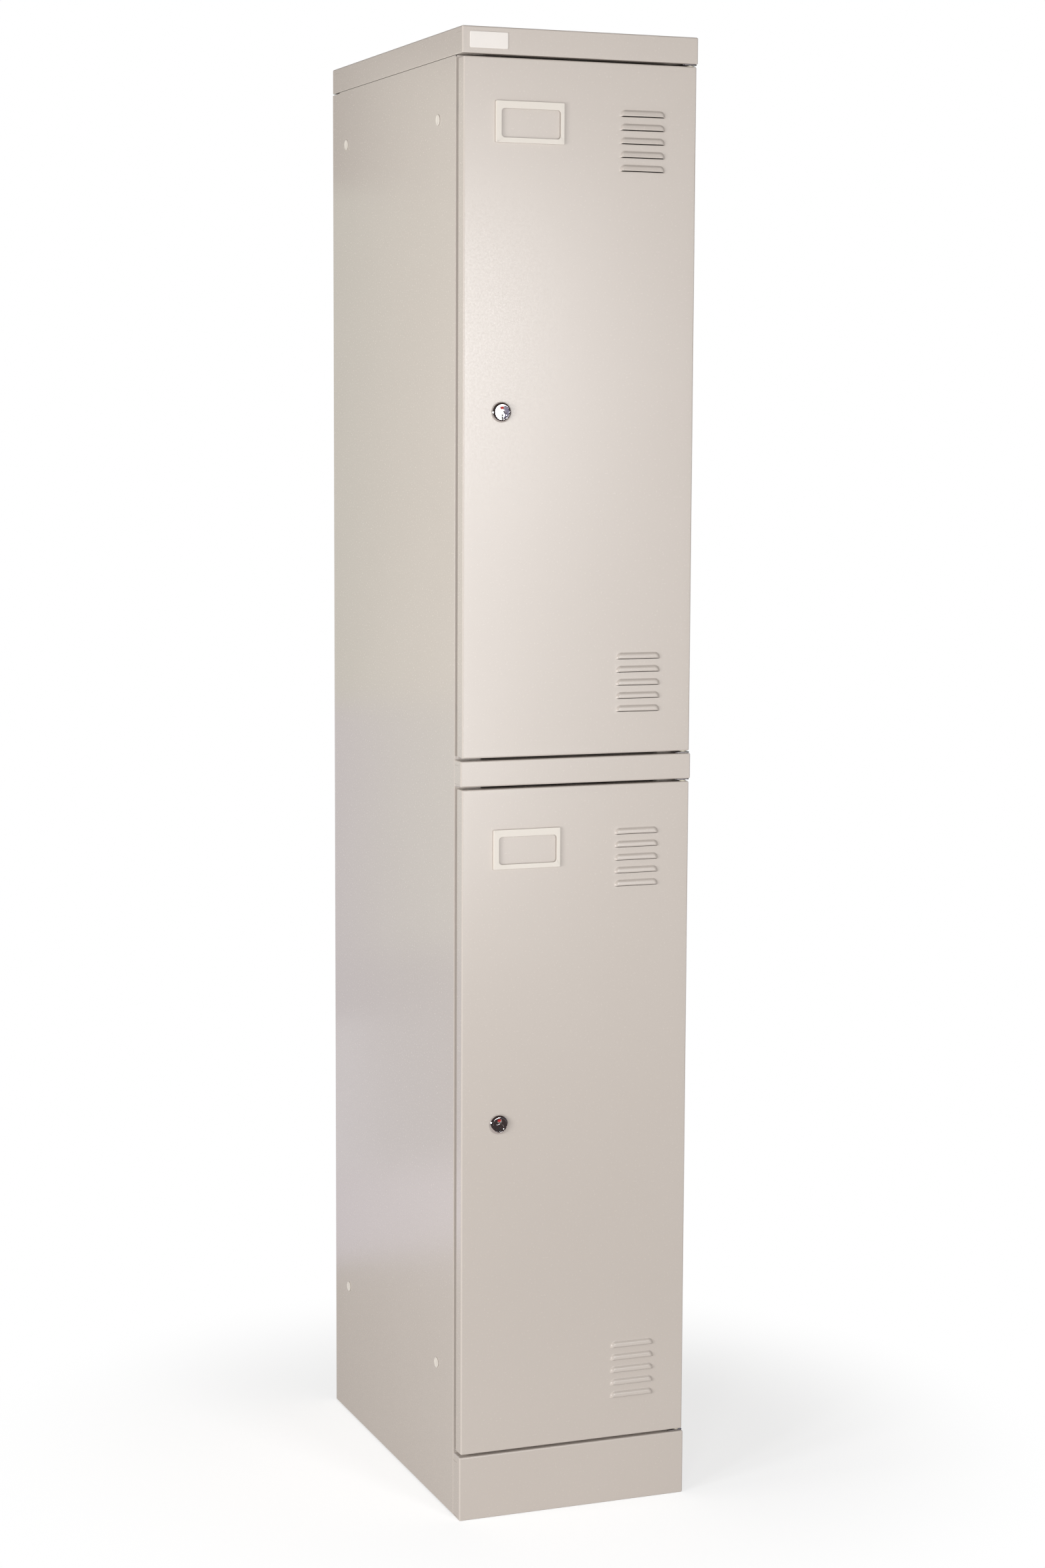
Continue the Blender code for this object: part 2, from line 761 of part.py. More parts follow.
def press_louvres(door, level, door_pivot):
    """Presses the hoods out of the skin: their outsides are added, then their hollows are cut."""
    bottom = LEVELS[level] + DOOR_GAP
    highest = bottom + DOOR_HEIGHT - LOUVRE_TOP_DROP
    lowest = bottom + LOUVRE_BOTTOM_RISE
    heights = [highest - row * LOUVRE_PITCH for row in range(LOUVRE_ROWS)]
    heights += [lowest + row * LOUVRE_PITCH for row in range(LOUVRE_ROWS)]
    places = [Vector((LOUVRE_X, y_at(0), height)) for height in heights]
    outside = hood_mesh(f"{level}_hoods", 0, LOUVRE_PROUD, SHEET / 2)
    cut(door, cutter(outside.name, repeated(outside, places), door_pivot), "UNION")
    hollow = hood_mesh(f"{level}_hollows", SHEET, LOUVRE_PROUD - SHEET, SHEET + OVERRUN)
    lowered = [place - Vector((0, 0, FIT)) for place in places]
    cut(door, cutter(hollow.name, repeated(hollow, lowered), door_pivot))


def lock_height(level):
    """Middle of a lock, half-way up its door."""
    return LEVELS[level] + OPENING / 2


def label_top(level):
    return LEVELS[level] + DOOR_GAP + DOOR_HEIGHT - LABEL_DROP


def label_post_places(level):
    """The four clip posts of a label holder, in the solid strips above and below its pocket."""
    upper = label_top(level) - (LABEL_MARGIN_TOP - LABEL_POCKET) / 2
    lower = label_top(level) - LABEL_HEIGHT + (LABEL_MARGIN_BOTTOM - LABEL_POCKET) / 2
    columns = (LABEL_X + LABEL_POST_INSET, LABEL_X + LABEL_WIDTH - LABEL_POST_INSET)
    return [Vector((x, y_at(0), z)) for x in columns for z in (upper, lower)]


def make_door(level, door_pivot):
    """Door skin with its four edges folded back and in, louvres and holes."""
    bottom = LEVELS[level] + DOOR_GAP
    top = bottom + DOOR_HEIGHT
    lips = {(axis, sign): DOOR_LIP for axis in (0, 2) for sign in (-1, 1)}
    low, high = (-DOOR_X, y_at(0), bottom), (DOOR_X, y_at(DOOR_DEPTH), top)
    door = tray(f"{level}_door", low, high, 1, 1, door_pivot, lips)
    press_louvres(door, level, door_pivot)
    lock = [(LOCK_X, y_at(0), lock_height(level))]
    drill(door, f"{level}_lock_hole", lock, BARREL_RADIUS + FIT, "+Y", SIDES_LOCK, door_pivot)
    posts = label_post_places(level)
    radius = LABEL_POST_RADIUS + FIT
    drill(door, f"{level}_post_holes", posts, radius, "+Y", SIDES_FINE, door_pivot)
    bushes = [(HINGE_X, y_at(HINGE_BACK), height) for height in (bottom, top)]
    radius = PIN_RADIUS + PIN_RUN + BUSH_WALL + FIT
    drill(door, f"{level}_bush_holes", bushes, radius, "+Z", SIDES_SMALL, door_pivot)


def make_stiffener(level, door_pivot):
    """Hat section against the inside of the door's skin."""
    skin = y_at(SHEET + FIT + SHEET)
    crown = y_at(SHEET + FIT + STIFFENER_HEIGHT)
    wall, foot = STIFFENER_CROWN / 2, STIFFENER_CROWN / 2 + STIFFENER_FOOT
    right = [(wall, crown), (wall, skin), (foot, skin)]
    left = [(-x, y) for x, y in reversed(right)]
    profile = [(STIFFENER_X + x, y) for x, y in left + right]
    bottom = LEVELS[level] + DOOR_GAP + STIFFENER_END_GAP
    top = LEVELS[level] + DOOR_GAP + DOOR_HEIGHT - STIFFENER_END_GAP
    folded_strip(f"{level}_door_stiffener", profile, 2, bottom, top, (0, 1, 0), door_pivot)


def make_label_holder(level, door_pivot):
    """Plastic frame with a rounded window and a pocket for the card behind it."""
    top = label_top(level)
    low = (LABEL_X, y_at(-FIT - LABEL_THICK), top - LABEL_HEIGHT)
    high = (LABEL_X + LABEL_WIDTH, y_at(-FIT), top)
    mesh = to_mesh(cuboid(low, high), f"{level}_label_holder")
    holder = piece(mesh.name, mesh, cream_plastic(), door_pivot, middle(low, high))
    round_edges(holder, LABEL_EDGE)
    length = SHEET + FIT + LABEL_THICK / 2
    post = cylinder_mesh(f"{level}_posts", LABEL_POST_RADIUS, length, SIDES_FINE)
    shift = Vector((0, SHEET - length / 2, 0))
    posts = repeated(post, [place + shift for place in label_post_places(level)], "+Y")
    cut(holder, cutter(post.name, posts, door_pivot), "UNION")
    left, right = LABEL_X + LABEL_MARGIN_LEFT, LABEL_X + LABEL_WIDTH - LABEL_MARGIN_RIGHT
    upper, lower = top - LABEL_MARGIN_TOP, top - LABEL_HEIGHT + LABEL_MARGIN_BOTTOM
    low = (left, y_at(-FIT - LABEL_THICK - OVERRUN), lower)
    high = (right, y_at(OVERRUN), upper)
    window = rounded_cuboid(f"{level}_label_window", low, high, LABEL_WINDOW_CORNER, 1)
    cut(holder, cutter(window.name, window, door_pivot, middle(low, high)))
    low = (left - LABEL_POCKET, y_at(-FIT - LABEL_POCKET_THICK), lower - LABEL_POCKET)
    high = (right + LABEL_POCKET, y_at(OVERRUN), upper + LABEL_POCKET)
    cut(holder, box_cutter(f"{level}_label_pocket", low, high, door_pivot))


def make_lock(level, door_pivot, plug_pivot):
    """Cam lock: body, nut and window plate stay with the door; plug, flag, cam and screw turn."""
    centre = Vector((LOCK_X, y_at(0), lock_height(level)))
    axis = centre - Vector((0, 0, PLUG_DROP))
    window = centre + Vector((0, 0, WINDOW_RISE))
    make_lock_body(level, centre, axis, window, door_pivot)
    make_nut(level, centre, door_pivot)
    make_window_plate(level, window, door_pivot)
    make_plug(level, axis, plug_pivot)
    make_flag(level, axis, plug_pivot)
    make_cam(level, axis, plug_pivot)
    make_cam_screw(level, axis, plug_pivot)


def make_lock_body(level, centre, axis, window, door_pivot):
    """Chromed rosette and barrel, bored for the plug and hollow behind the window."""
    crest = LOCK_FACE_RADIUS + LOCK_CHAMFER
    profile = [
        (0, LOCK_FACE),
        (LOCK_FACE_RADIUS, LOCK_FACE),
        (crest, LOCK_PROUD),
        (crest + LOCK_CHAMFER, LOCK_PROUD),
        (LOCK_RADIUS - LOCK_CHAMFER, LOCK_FACE - LOCK_CHAMFER),
        (LOCK_RADIUS, CHAMBER_FRONT),
        (LOCK_RADIUS, FIT),
        (BARREL_RADIUS, FIT),
        (BARREL_RADIUS, -LOCK_REAR),
        (0, -LOCK_REAR),
    ]
    body = turned(f"{level}_lock_body", profile, chrome(), door_pivot, centre, "-Y", SIDES_LOCK)
    depth = CHAMBER_FRONT - CHAMBER_REAR
    chamber = cylinder_mesh(f"{level}_chamber", CHAMBER_RADIUS, depth, SIDES_LOCK)
    behind = Vector((0, CHAMBER_MIDDLE, 0))
    cut(body, cutter(chamber.name, chamber, door_pivot, centre - behind, "+Y"))
    length = 2 * (LOCK_REAR + OVERRUN)
    bore = cylinder_mesh(f"{level}_plug_bore", PLUG_RADIUS + PLUG_RUN, length, SIDES_PLUG)
    cut(body, cutter(bore.name, bore, door_pivot, axis, "+Y"))
    low = window - Vector((WINDOW_WIDTH / 2, LOCK_PROUD, WINDOW_HEIGHT / 2))
    high = window + Vector((WINDOW_WIDTH / 2, -CHAMBER_MIDDLE, WINDOW_HEIGHT / 2))
    opening = rounded_cuboid(f"{level}_lock_window", low, high, WINDOW_EDGE / 2, 1)
    cut(body, cutter(opening.name, opening, door_pivot, middle(low, high)))


def make_nut(level, centre, door_pivot):
    """Six-sided nut that holds the lock in the door."""
    mesh = cylinder_mesh(f"{level}_lock_nut", BARREL_RADIUS + NUT_RIM, NUT_THICK, NUT_SIDES)
    place = centre + Vector((0, SHEET + FIT + NUT_THICK / 2, 0))
    nut = piece(mesh.name, mesh, zinc(), door_pivot, place, "+Y")
    bore = cylinder_mesh(f"{level}_nut_bore", BARREL_RADIUS + FIT, 2 * LOCK_REAR, SIDES_LOCK)
    cut(nut, cutter(bore.name, bore, door_pivot, centre, "+Y"))


def make_window_plate(level, window, door_pivot):
    """White plate on the floor of the lock's chamber, seen through the window."""
    seat = -CHAMBER_REAR - FIT
    half_x, half_z = WINDOW_WIDTH / 2 + WINDOW_EDGE, WINDOW_HEIGHT / 2
    low = window + Vector((-half_x, seat - WINDOW_PLATE_THICK, -half_z))
    high = window + Vector((half_x, seat, half_z + WINDOW_EDGE))
    mesh = rounded_cuboid(f"{level}_window_plate", low, high, WINDOW_EDGE / 2, 1)
    piece(mesh.name, mesh, white_plastic(), door_pivot, middle(low, high))


def make_plug(level, axis, plug_pivot):
    """Key plug with its keyway, and the tang that carries the cam."""
    front = LOCK_FACE - PLUG_RECESS
    shoulder, end = -(CAM_FRONT - FIT), -(CAM_REAR - FIT)
    hole = SCREW_RADIUS + FIT
    profile = [
        (0, front),
        (PLUG_RADIUS, front),
        (PLUG_RADIUS, shoulder),
        (TANG_RADIUS, shoulder),
        (TANG_RADIUS, end),
        (hole, end),
        (hole, end + SCREW_LENGTH + FIT),
        (0, end + SCREW_LENGTH + FIT),
    ]
    plug = turned(f"{level}_lock_plug", profile, chrome(), plug_pivot, axis, "-Y", SIDES_PLUG)
    low = axis - Vector((KEYWAY_WIDTH / 2, front + OVERRUN, KEYWAY_HEIGHT / 2))
    high = axis + Vector((KEYWAY_WIDTH / 2, KEYWAY_DEPTH - front, KEYWAY_HEIGHT / 2))
    cut(plug, box_cutter(f"{level}_keyway", low, high, plug_pivot))


def make_cam(level, axis, plug_pivot):
    """Steel cam, which hangs down when the lock is open."""
    low = axis + Vector((-CAM_HALF, CAM_FRONT, -CAM_REACH))
    high = axis + Vector((CAM_HALF, CAM_REAR, CAM_HALF))
    mesh = rounded_cuboid(f"{level}_cam", low, high, CAM_CORNER, 1)
    cam = piece(mesh.name, mesh, zinc(), plug_pivot, middle(low, high))
    length = 2 * (CAM_REAR + OVERRUN)
    hole = cylinder_mesh(f"{level}_cam_hole", TANG_RADIUS + FIT, length, SIDES_PLUG)
    cut(cam, cutter(hole.name, hole, plug_pivot, axis, "+Y"))


def make_cam_screw(level, axis, plug_pivot):
    """Slotted screw that holds the cam on the plug's tang."""
    seat = CAM_REAR + FIT
    head = TANG_RADIUS + FIT + SCREW_LAND
    rear = seat + SCREW_HEAD
    profile = [
        (0, SCREW_LENGTH - seat),
        (SCREW_RADIUS, SCREW_LENGTH - seat),
        (SCREW_RADIUS, -seat),
        (head, -seat),
        (head, -seat - SCREW_HEAD * CROWN_SHARE),
        (head * RIM_SHARE, -rear),
        (0, -rear),
    ]
    screw = turned(f"{level}_cam_screw", profile, zinc(), plug_pivot, axis, "-Y", SIDES_SMALL)
    low = axis + Vector((-head - OVERRUN, rear - SCREW_HEAD / 2, -SCREW_SLOT / 2))
    high = axis + Vector((head + OVERRUN, rear + OVERRUN, SCREW_SLOT / 2))
    cut(screw, box_cutter(f"{level}_screw_slot", low, high, plug_pivot))


def arc(radius, start, end, steps):
    """Points along an arc, both ends included."""
    angles = [start + (end - start) * step / steps for step in range(steps + 1)]
    return [(radius * math.cos(angle), radius * math.sin(angle)) for angle in angles]


def flag_radius():
    """The flag ends a clearance short of the chamber's wall, measured along its lower edge."""
    along = -PLUG_DROP * math.sin(FLAG_TO)
    reach = math.sqrt(along**2 + CHAMBER_RADIUS**2 - PLUG_DROP**2) - along
    return reach - FIT


def make_flag(level, axis, plug_pivot):
    """Red flag: a sector on a hub round the plug, drawn as a flat outline."""
    hole = PLUG_RADIUS + FIT
    sector = arc(flag_radius(), FLAG_FROM, FLAG_TO, FLAG_STEPS)
    hub = arc(hole + FLAG_HUB, FLAG_TO, FLAG_FROM + 2 * math.pi, 2 * FLAG_STEPS)
    inner = arc(hole, 0, 2 * math.pi, SIDES_PLUG)[:-1]
    curve = bpy.data.curves.new(f"{level}_indicator_flag", "CURVE")
    curve.dimensions = "2D"
    curve.fill_mode = "BOTH"
    curve.extrude = FLAG_THICK / 2
    for points in (sector + hub, inner):
        spline = curve.splines.new("POLY")
        spline.points.add(len(points) - 1)
        for point, (x, y) in zip(spline.points, points):
            point.co = (x, y, 0, 1)
        spline.use_cyclic_u = True
    place = axis - Vector((0, CHAMBER_MIDDLE, 0))
    piece(curve.name, curve, red_plastic(), plug_pivot, place, "-Y")


def make_compartment(level):
    """One door with all that hangs on it, its hinges, and the coat rail behind it."""
    hinge = Vector((HINGE_X, y_at(HINGE_BACK), LEVELS[level] + DOOR_GAP))
    door_pivot = pivot(f"{level}_door_pivot", hinge)
    axis = Vector((LOCK_X, y_at(0), lock_height(level) - PLUG_DROP))
    plug_pivot = pivot(f"{level}_lock_pivot", axis, door_pivot)
    make_door(level, door_pivot)
    make_stiffener(level, door_pivot)
    make_label_holder(level, door_pivot)
    make_lock(level, door_pivot, plug_pivot)
    for name, (height, way) in hinge_places().items():
        if name.startswith(level):
            make_hinge(name, door_pivot, height, way)
    make_coat_rail(level)


clear_scene()
PARTS = new_collection("clothes_locker")
CUTTERS = new_collection("cutters")
make_cap()
make_rail()
make_plinth()
cut_strikes(make_side("left"))
make_side("right")
make_back()
make_shelf("middle_shelf", RAIL_TOP, RAIL_HEIGHT)
make_shelf("floor_panel", PLINTH_HEIGHT, FLOOR_DROP)
make_name_plate()
make_buffers()
for panel_side in SIDES:
    make_hole_plugs(panel_side)
for door_level in LEVELS:
    make_compartment(door_level)
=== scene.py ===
import json
import math

import bmesh
import bpy
from mathutils import Matrix, Vector


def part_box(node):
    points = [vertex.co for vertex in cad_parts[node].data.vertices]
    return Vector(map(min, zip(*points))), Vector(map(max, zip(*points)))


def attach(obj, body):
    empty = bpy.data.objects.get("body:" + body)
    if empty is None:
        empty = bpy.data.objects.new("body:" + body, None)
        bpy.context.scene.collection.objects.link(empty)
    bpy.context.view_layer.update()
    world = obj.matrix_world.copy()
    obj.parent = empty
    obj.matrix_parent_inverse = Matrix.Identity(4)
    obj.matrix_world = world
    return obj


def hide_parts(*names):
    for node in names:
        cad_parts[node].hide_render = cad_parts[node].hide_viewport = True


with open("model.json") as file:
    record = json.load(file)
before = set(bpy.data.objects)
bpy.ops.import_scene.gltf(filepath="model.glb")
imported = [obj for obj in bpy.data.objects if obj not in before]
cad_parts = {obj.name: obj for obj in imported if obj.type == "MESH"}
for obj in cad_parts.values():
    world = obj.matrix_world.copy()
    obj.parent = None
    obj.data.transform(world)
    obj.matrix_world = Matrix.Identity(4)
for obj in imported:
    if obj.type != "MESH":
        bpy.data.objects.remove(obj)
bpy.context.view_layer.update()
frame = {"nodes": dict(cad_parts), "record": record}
nodes = frame["nodes"]
slotOfNode = {row["node"]: row["material_slot"] for row in frame["record"]["subparts"]}
print("frame loaded:", len(nodes), "nodes")

levels = ("lower", "upper")
sides = {"left": -1, "right": 1}
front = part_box("middle_rail")[0].y  # the plane of the doors, rail, cap and plinth
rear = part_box("top_cap")[1].y
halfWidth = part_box("top_cap")[1].x
tiny = 0.00001  # places closer than this count as one
clear = 0.001  # how far a cutter reaches past what it cuts
through = 0.02  # and how far it reaches along a deep hole


# selecting and editing
def deselect():
    bpy.ops.object.select_all(action="DESELECT")


def makeActive(thing):
    deselect()
    thing.select_set(True)
    bpy.context.view_layer.objects.active = thing


def openMesh(thing):
    makeActive(thing)
    bpy.ops.object.mode_set(mode="EDIT")


def closeMesh():
    bpy.ops.object.mode_set(mode="OBJECT")


def selectAll():
    bpy.ops.mesh.select_all(action="SELECT")


def pick(kind, rule):
    # leaves selected just the verts, edges or faces that the rule accepts
    bpy.ops.mesh.select_mode(type=kind)
    bpy.ops.mesh.select_all(action="DESELECT")
    shape = bmesh.from_edit_mesh(bpy.context.edit_object.data)
    shape.normal_update()
    parts = {"VERT": shape.verts, "EDGE": shape.edges, "FACE": shape.faces}[kind]
    chosen = [part for part in parts if rule(part)]
    for part in chosen:
        part.select_set(True)
    bmesh.update_edit_mesh(bpy.context.edit_object.data)
    return len(chosen)


def near(value, target, within=tiny):
    return abs(value - target) < within


def wholly(rule):
    # accepts an edge or a face when the rule accepts all its points
    return lambda part: all(rule(vert) for vert in part.verts)


def move(shift):
    bpy.ops.transform.translate(value=shift)


def extrude(shift):
    bpy.ops.mesh.extrude_region_move(TRANSFORM_OT_translate={"value": shift})


def bevelEdges(offset, steps):
    bpy.ops.mesh.bevel(offset=offset, segments=steps, affect="EDGES")


def applyTransform():
    bpy.ops.object.transform_apply(location=True, rotation=True, scale=True)


def isFold(edge):
    return len(edge.link_faces) == 2 and edge.calc_face_angle() > math.radians(60)


def faceOut(rule):
    # turns all faces to one side, the side where the rule accepts some of them
    selectAll()
    bpy.ops.mesh.normals_make_consistent(inside=False)
    if not pick("FACE", rule):
        selectAll()
        bpy.ops.mesh.flip_normals()


def addBox(name, low, high):
    deselect()
    bpy.ops.mesh.primitive_cube_add(size=1, location=(Vector(low) + Vector(high)) / 2)
    thing = bpy.context.object
    thing.name = name
    thing.scale = Vector(high) - Vector(low)
    applyTransform()
    return thing


def addModifier(thing, kind, **values):
    made = thing.modifiers.new(kind.lower(), kind)
    for key, value in values.items():
        setattr(made, key, value)
    makeActive(thing)
    bpy.ops.object.modifier_apply(modifier=made.name)


def cutWith(thing, tool, operation="DIFFERENCE", solver="EXACT"):
    addModifier(thing, "BOOLEAN", operation=operation, solver=solver, object=tool)
    bpy.data.objects.remove(tool, do_unlink=True)


def carve(thing, corner, otherCorner):
    # cuts away the block between two corners
    low, high = ([end(pair) for pair in zip(corner, otherCorner)] for end in (min, max))
    cutWith(thing, addBox("carve", low, high))


def joined(things):
    deselect()
    for thing in things:
        thing.select_set(True)
    bpy.context.view_layer.objects.active = things[0]
    bpy.ops.object.join()
    return bpy.context.object


def copied(thing, shift):
    made = thing.copy()
    made.data = thing.data.copy()
    made.data.transform(Matrix.Translation(shift))
    bpy.context.collection.objects.link(made)
    return made


# the way a piece can face, as the turn that brings +Z there
turns = {
    "-Y": (math.pi / 2, 0, 0),
    "+Y": (-math.pi / 2, 0, 0),
    "+X": (0, math.pi / 2, 0),
    "-X": (0, -math.pi / 2, 0),
    "+Z": (0, 0, 0),
    "-Z": (math.pi, 0, 0),
}


def turnedPiece(name, rings, centre, facing, count):
    # rings of (radius, height) from the back to the front, each extruded from the last
    deselect()
    radius, height = rings[0]
    bpy.ops.mesh.primitive_circle_add(
        vertices=count, radius=radius, fill_type="NGON", location=(0, 0, height)
    )
    thing = bpy.context.object
    thing.name = name
    applyTransform()
    openMesh(thing)
    selectAll()
    for (wasWide, wasHigh), (wide, high) in zip(rings, rings[1:]):
        extrude((0, 0, high - wasHigh))
        share = wide / wasWide
        bpy.ops.transform.resize(value=(share, share, 1), center_override=(0, 0, high))
    selectAll()
    bpy.ops.mesh.normals_make_consistent(inside=False)
    closeMesh()
    thing.location = centre
    thing.rotation_euler = turns[facing]
    makeActive(thing)
    applyTransform()
    return thing


def cutTurned(thing, rings, centre, facing, count, operation="DIFFERENCE", solver="EXACT"):
    cutWith(thing, turnedPiece("tool", rings, centre, facing, count), operation, solver)


def scaled(profile, wide, tall):
    # rings from a profile in shares of a width and a height
    return [(wide * share, tall * rise) for share, rise in profile]


def roundBlock(name, low, high, axis, corner, edge=0.0, steps=6):
    # a block with its edges along one axis rounded, and the rest broken by a small bevel
    block = addBox(name, low, high)
    openMesh(block)
    runs = lambda line: abs(line.verts[0].co[axis] - line.verts[1].co[axis]) > tiny
    pick("EDGE", runs)
    bevelEdges(corner, steps)
    if edge:
        pick("EDGE", lambda line: isFold(line) and not runs(line))
        bevelEdges(edge, 3)
    closeMesh()
    return block


def smooth(thing, degrees):
    # bends shade smooth, and the flat faces beside them stay flat
    makeActive(thing)
    bpy.ops.object.shade_smooth_by_angle(angle=math.radians(degrees))
    addModifier(thing, "WEIGHTED_NORMAL", keep_sharp=True, weight=100)


def place(thing, body, finish, *stoodFor):
    thing.data.name = thing.name
    thing.data.materials.clear()
    thing.data.materials.append(finish)
    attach(thing, body)
    if stoodFor:
        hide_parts(*stoodFor)


# the nodes that ride on a level's lock or door, by how their names end
riders = {
    "lock": ("lock_plug", "indicator_flag", "cam", "cam_screw"),
    "door": ("door", "stiffener", "holder", "lock_body", "lock_nut", "window_plate", "bush"),
}


def bodyOf(node):
    level = node.split("_")[0]
    for body, ends in riders.items():
        if level in levels and node.endswith(ends):
            return f"{level}_{body}"
    return "cabinet"


def standIn(thing, node, degrees=35):
    # a finer piece that takes the place, the body and the finish of one CAD node
    if degrees:
        smooth(thing, degrees)
    place(thing, bodyOf(node), finishes[slotOfNode[node]], node)


# finishes
def feed(tree, node, inputs):
    # each input gets a value or another node's output
    for label, value in inputs.items():
        if isinstance(value, bpy.types.NodeSocket):
            tree.links.new(value, node.inputs[label])
        else:
            node.inputs[label].default_value = value


def addNode(tree, kind, inputs=(), **values):
    made = tree.nodes.new(kind)
    for key, value in values.items():
        setattr(made, key, value)
    feed(tree, made, dict(inputs))
    return made


def newGroup(name, inputs):
    group = bpy.data.node_groups.new(name, "ShaderNodeTree")
    for label, value in inputs.items():
        kind = "NodeSocketVector" if isinstance(value, tuple) else "NodeSocketFloat"
        socket = group.interface.new_socket(label, in_out="INPUT", socket_type=kind)
        socket.default_value = value
    for label in ("Tint", "Roughness", "Height"):
        group.interface.new_socket(label, in_out="OUTPUT", socket_type="NodeSocketFloat")
    return group, group.nodes.new("NodeGroupInput").outputs


def endGroup(group, given, tint, height):
    # noise mostly keeps between these two values, so they stand for least and most roughness
    ends = {"From Min": 0.3, "From Max": 0.7}
    ends.update({"To Min": given["Rough Low"], "To Max": given["Rough High"]})
    rough = addNode(group, "ShaderNodeMapRange", {"Value": height, **ends})
    answers = {"Tint": tint, "Roughness": rough.outputs["Result"], "Height": height}
    addNode(group, "NodeGroupOutput", answers)
    return group


def makeGrainGroup():
    # two sizes of grain: a soft mottle that tints and a fine skin that only bumps
    scales = {"Mottle Scale": 9.0, "Grain Scale": 450.0}
    group, given = newGroup("surfaceGrain", {**scales, "Rough Low": 0.36, "Rough High": 0.44})
    spot = addNode(group, "ShaderNodeTexCoord").outputs["Object"]
    mottled = {"Vector": spot, "Scale": given["Mottle Scale"], "Detail": 3}
    grained = {"Vector": spot, "Scale": given["Grain Scale"], "Detail": 2, "Roughness": 0.45}
    mottle = addNode(group, "ShaderNodeTexNoise", mottled)
    grain = addNode(group, "ShaderNodeTexNoise", grained)
    return endGroup(group, given, mottle.outputs["Fac"], grain.outputs["Fac"])


def makeBrushGroup():
    # fine scratches drawn out along one axis, for plated steel
    scales = {"Stretch": (1, 1, 40), "Scale": 60.0}
    group, given = newGroup("drawnScratches", {**scales, "Rough Low": 0.25, "Rough High": 0.5})
    spot = addNode(group, "ShaderNodeTexCoord").outputs["Object"]
    pulled = {0: spot, 1: given["Stretch"]}
    stretched = addNode(group, "ShaderNodeVectorMath", pulled, operation="MULTIPLY")
    drawn = {"Vector": stretched.outputs["Vector"], "Scale": given["Scale"], "Detail": 4}
    lines = addNode(group, "ShaderNodeTexNoise", drawn).outputs["Fac"]
    return endGroup(group, given, lines, lines)


grainGroup = makeGrainGroup()
brushGroup = makeBrushGroup()

# each finish varies between two colours and two roughnesses, and its bumps have a strength and
# a depth in metres; the metals have scratches of one scale, and the others a mottle and a grain
looks = {
    "powder_coat": {
        "colours": ((0.583, 0.523, 0.473), (0.597, 0.538, 0.489)),
        "scales": (7, 420),
        "rough": (0.22, 0.28),
        "bump": (0.08, 0.00005),
    },
    "cream_plastic": {
        "colours": ((0.755, 0.698, 0.628), (0.775, 0.720, 0.652)),
        "scales": (40, 900),
        "rough": (0.40, 0.50),
        "bump": (0.2, 0.00003),
    },
    "nylon": {
        "colours": ((0.76, 0.70, 0.56), (0.82, 0.77, 0.64)),
        "scales": (90, 1200),
        "rough": (0.42, 0.55),
        "bump": (0.2, 0.00003),
    },
    "white_plastic": {
        "colours": ((0.84, 0.79, 0.745), (0.86, 0.81, 0.765)),
        "scales": (60, 700),
        "rough": (0.20, 0.26),
        "bump": (0.05, 0.00002),
    },
    "red_plastic": {
        "colours": ((0.50, 0.012, 0.010), (0.62, 0.022, 0.016)),
        "scales": (120, 900),
        "rough": (0.60, 0.70),
        "bump": (0.1, 0.00002),
    },
    "rubber": {
        "colours": ((0.020, 0.020, 0.020), (0.045, 0.044, 0.043)),
        "scales": (80, 1400),
        "rough": (0.65, 0.85),
        "bump": (0.5, 0.00005),
    },
    "chrome": {
        "colours": ((0.74, 0.73, 0.74), (0.80, 0.80, 0.81)),
        "stretch": (1, 1, 6),
        "scale": 220,
        "rough": (0.02, 0.05),
        "bump": (0.04, 0.00002),
    },
    "zinc_plate": {
        # dark partly as the plated steel's own dull zinc and partly as painted shade of the hinge
        # gaps and the dark inside where these parts sit
        "colours": ((0.24, 0.22, 0.22), (0.40, 0.38, 0.39)),
        "stretch": (6, 1, 6),
        "scale": 140,
        "rough": (0.34, 0.52),
        "bump": (0.2, 0.00003),
    },
}


def makeFinish(slot, look):
    finish = bpy.data.materials.new(slot)
    finish["slot"] = slot
    finish.use_nodes = True
    tree = finish.node_tree
    isMetal = "stretch" in look
    group = brushGroup if isMetal else grainGroup
    given = (look["stretch"], look["scale"]) if isMetal else look["scales"]
    labels = [item.name for item in group.interface.items_tree if item.in_out == "INPUT"]
    settings = dict(zip(labels, (*given, *look["rough"])))
    effect = addNode(tree, "ShaderNodeGroup", settings, node_tree=group).outputs
    dark, light = look["colours"]
    mixed = {"Factor": effect["Tint"], "A": (*dark, 1), "B": (*light, 1)}
    tint = addNode(tree, "ShaderNodeMix", mixed, data_type="RGBA")
    strength, depth = look["bump"]
    bumped = {"Strength": strength, "Distance": depth, "Height": effect["Height"]}
    surface = {
        "Metallic": 1.0 if isMetal else 0.0,
        "Base Color": tint.outputs["Result"],
        "Roughness": effect["Roughness"],
        "Normal": addNode(tree, "ShaderNodeBump", bumped).outputs["Normal"],
    }
    feed(tree, tree.nodes["Principled BSDF"], surface)
    return finish


finishes = {slot: makeFinish(slot, look) for slot, look in looks.items()}
for name, thing in nodes.items():
    for index in range(len(thing.material_slots)):
        thing.material_slots[index].material = finishes[slotOfNode[name]]
print("finishes made:", ", ".join(finishes))

# folded sheet steel
sheet = {
    "thick": 0.0008,
    "bend": 0.0018,  # outside radius of the folds that are seen from the front
    "tightBend": 0.0011,  # and of the folds where one piece meets another
    "bendSteps": 5,
    "rim": 0.00022,  # how far the cut edges are broken
    "rimSteps": 2,
    "weld": 0.000005,
    "boreReach": 0.003,  # how far a bore reaches to both sides of a sheet
    "shading": 50,  # degrees: sharper folds than this shade sharp
}


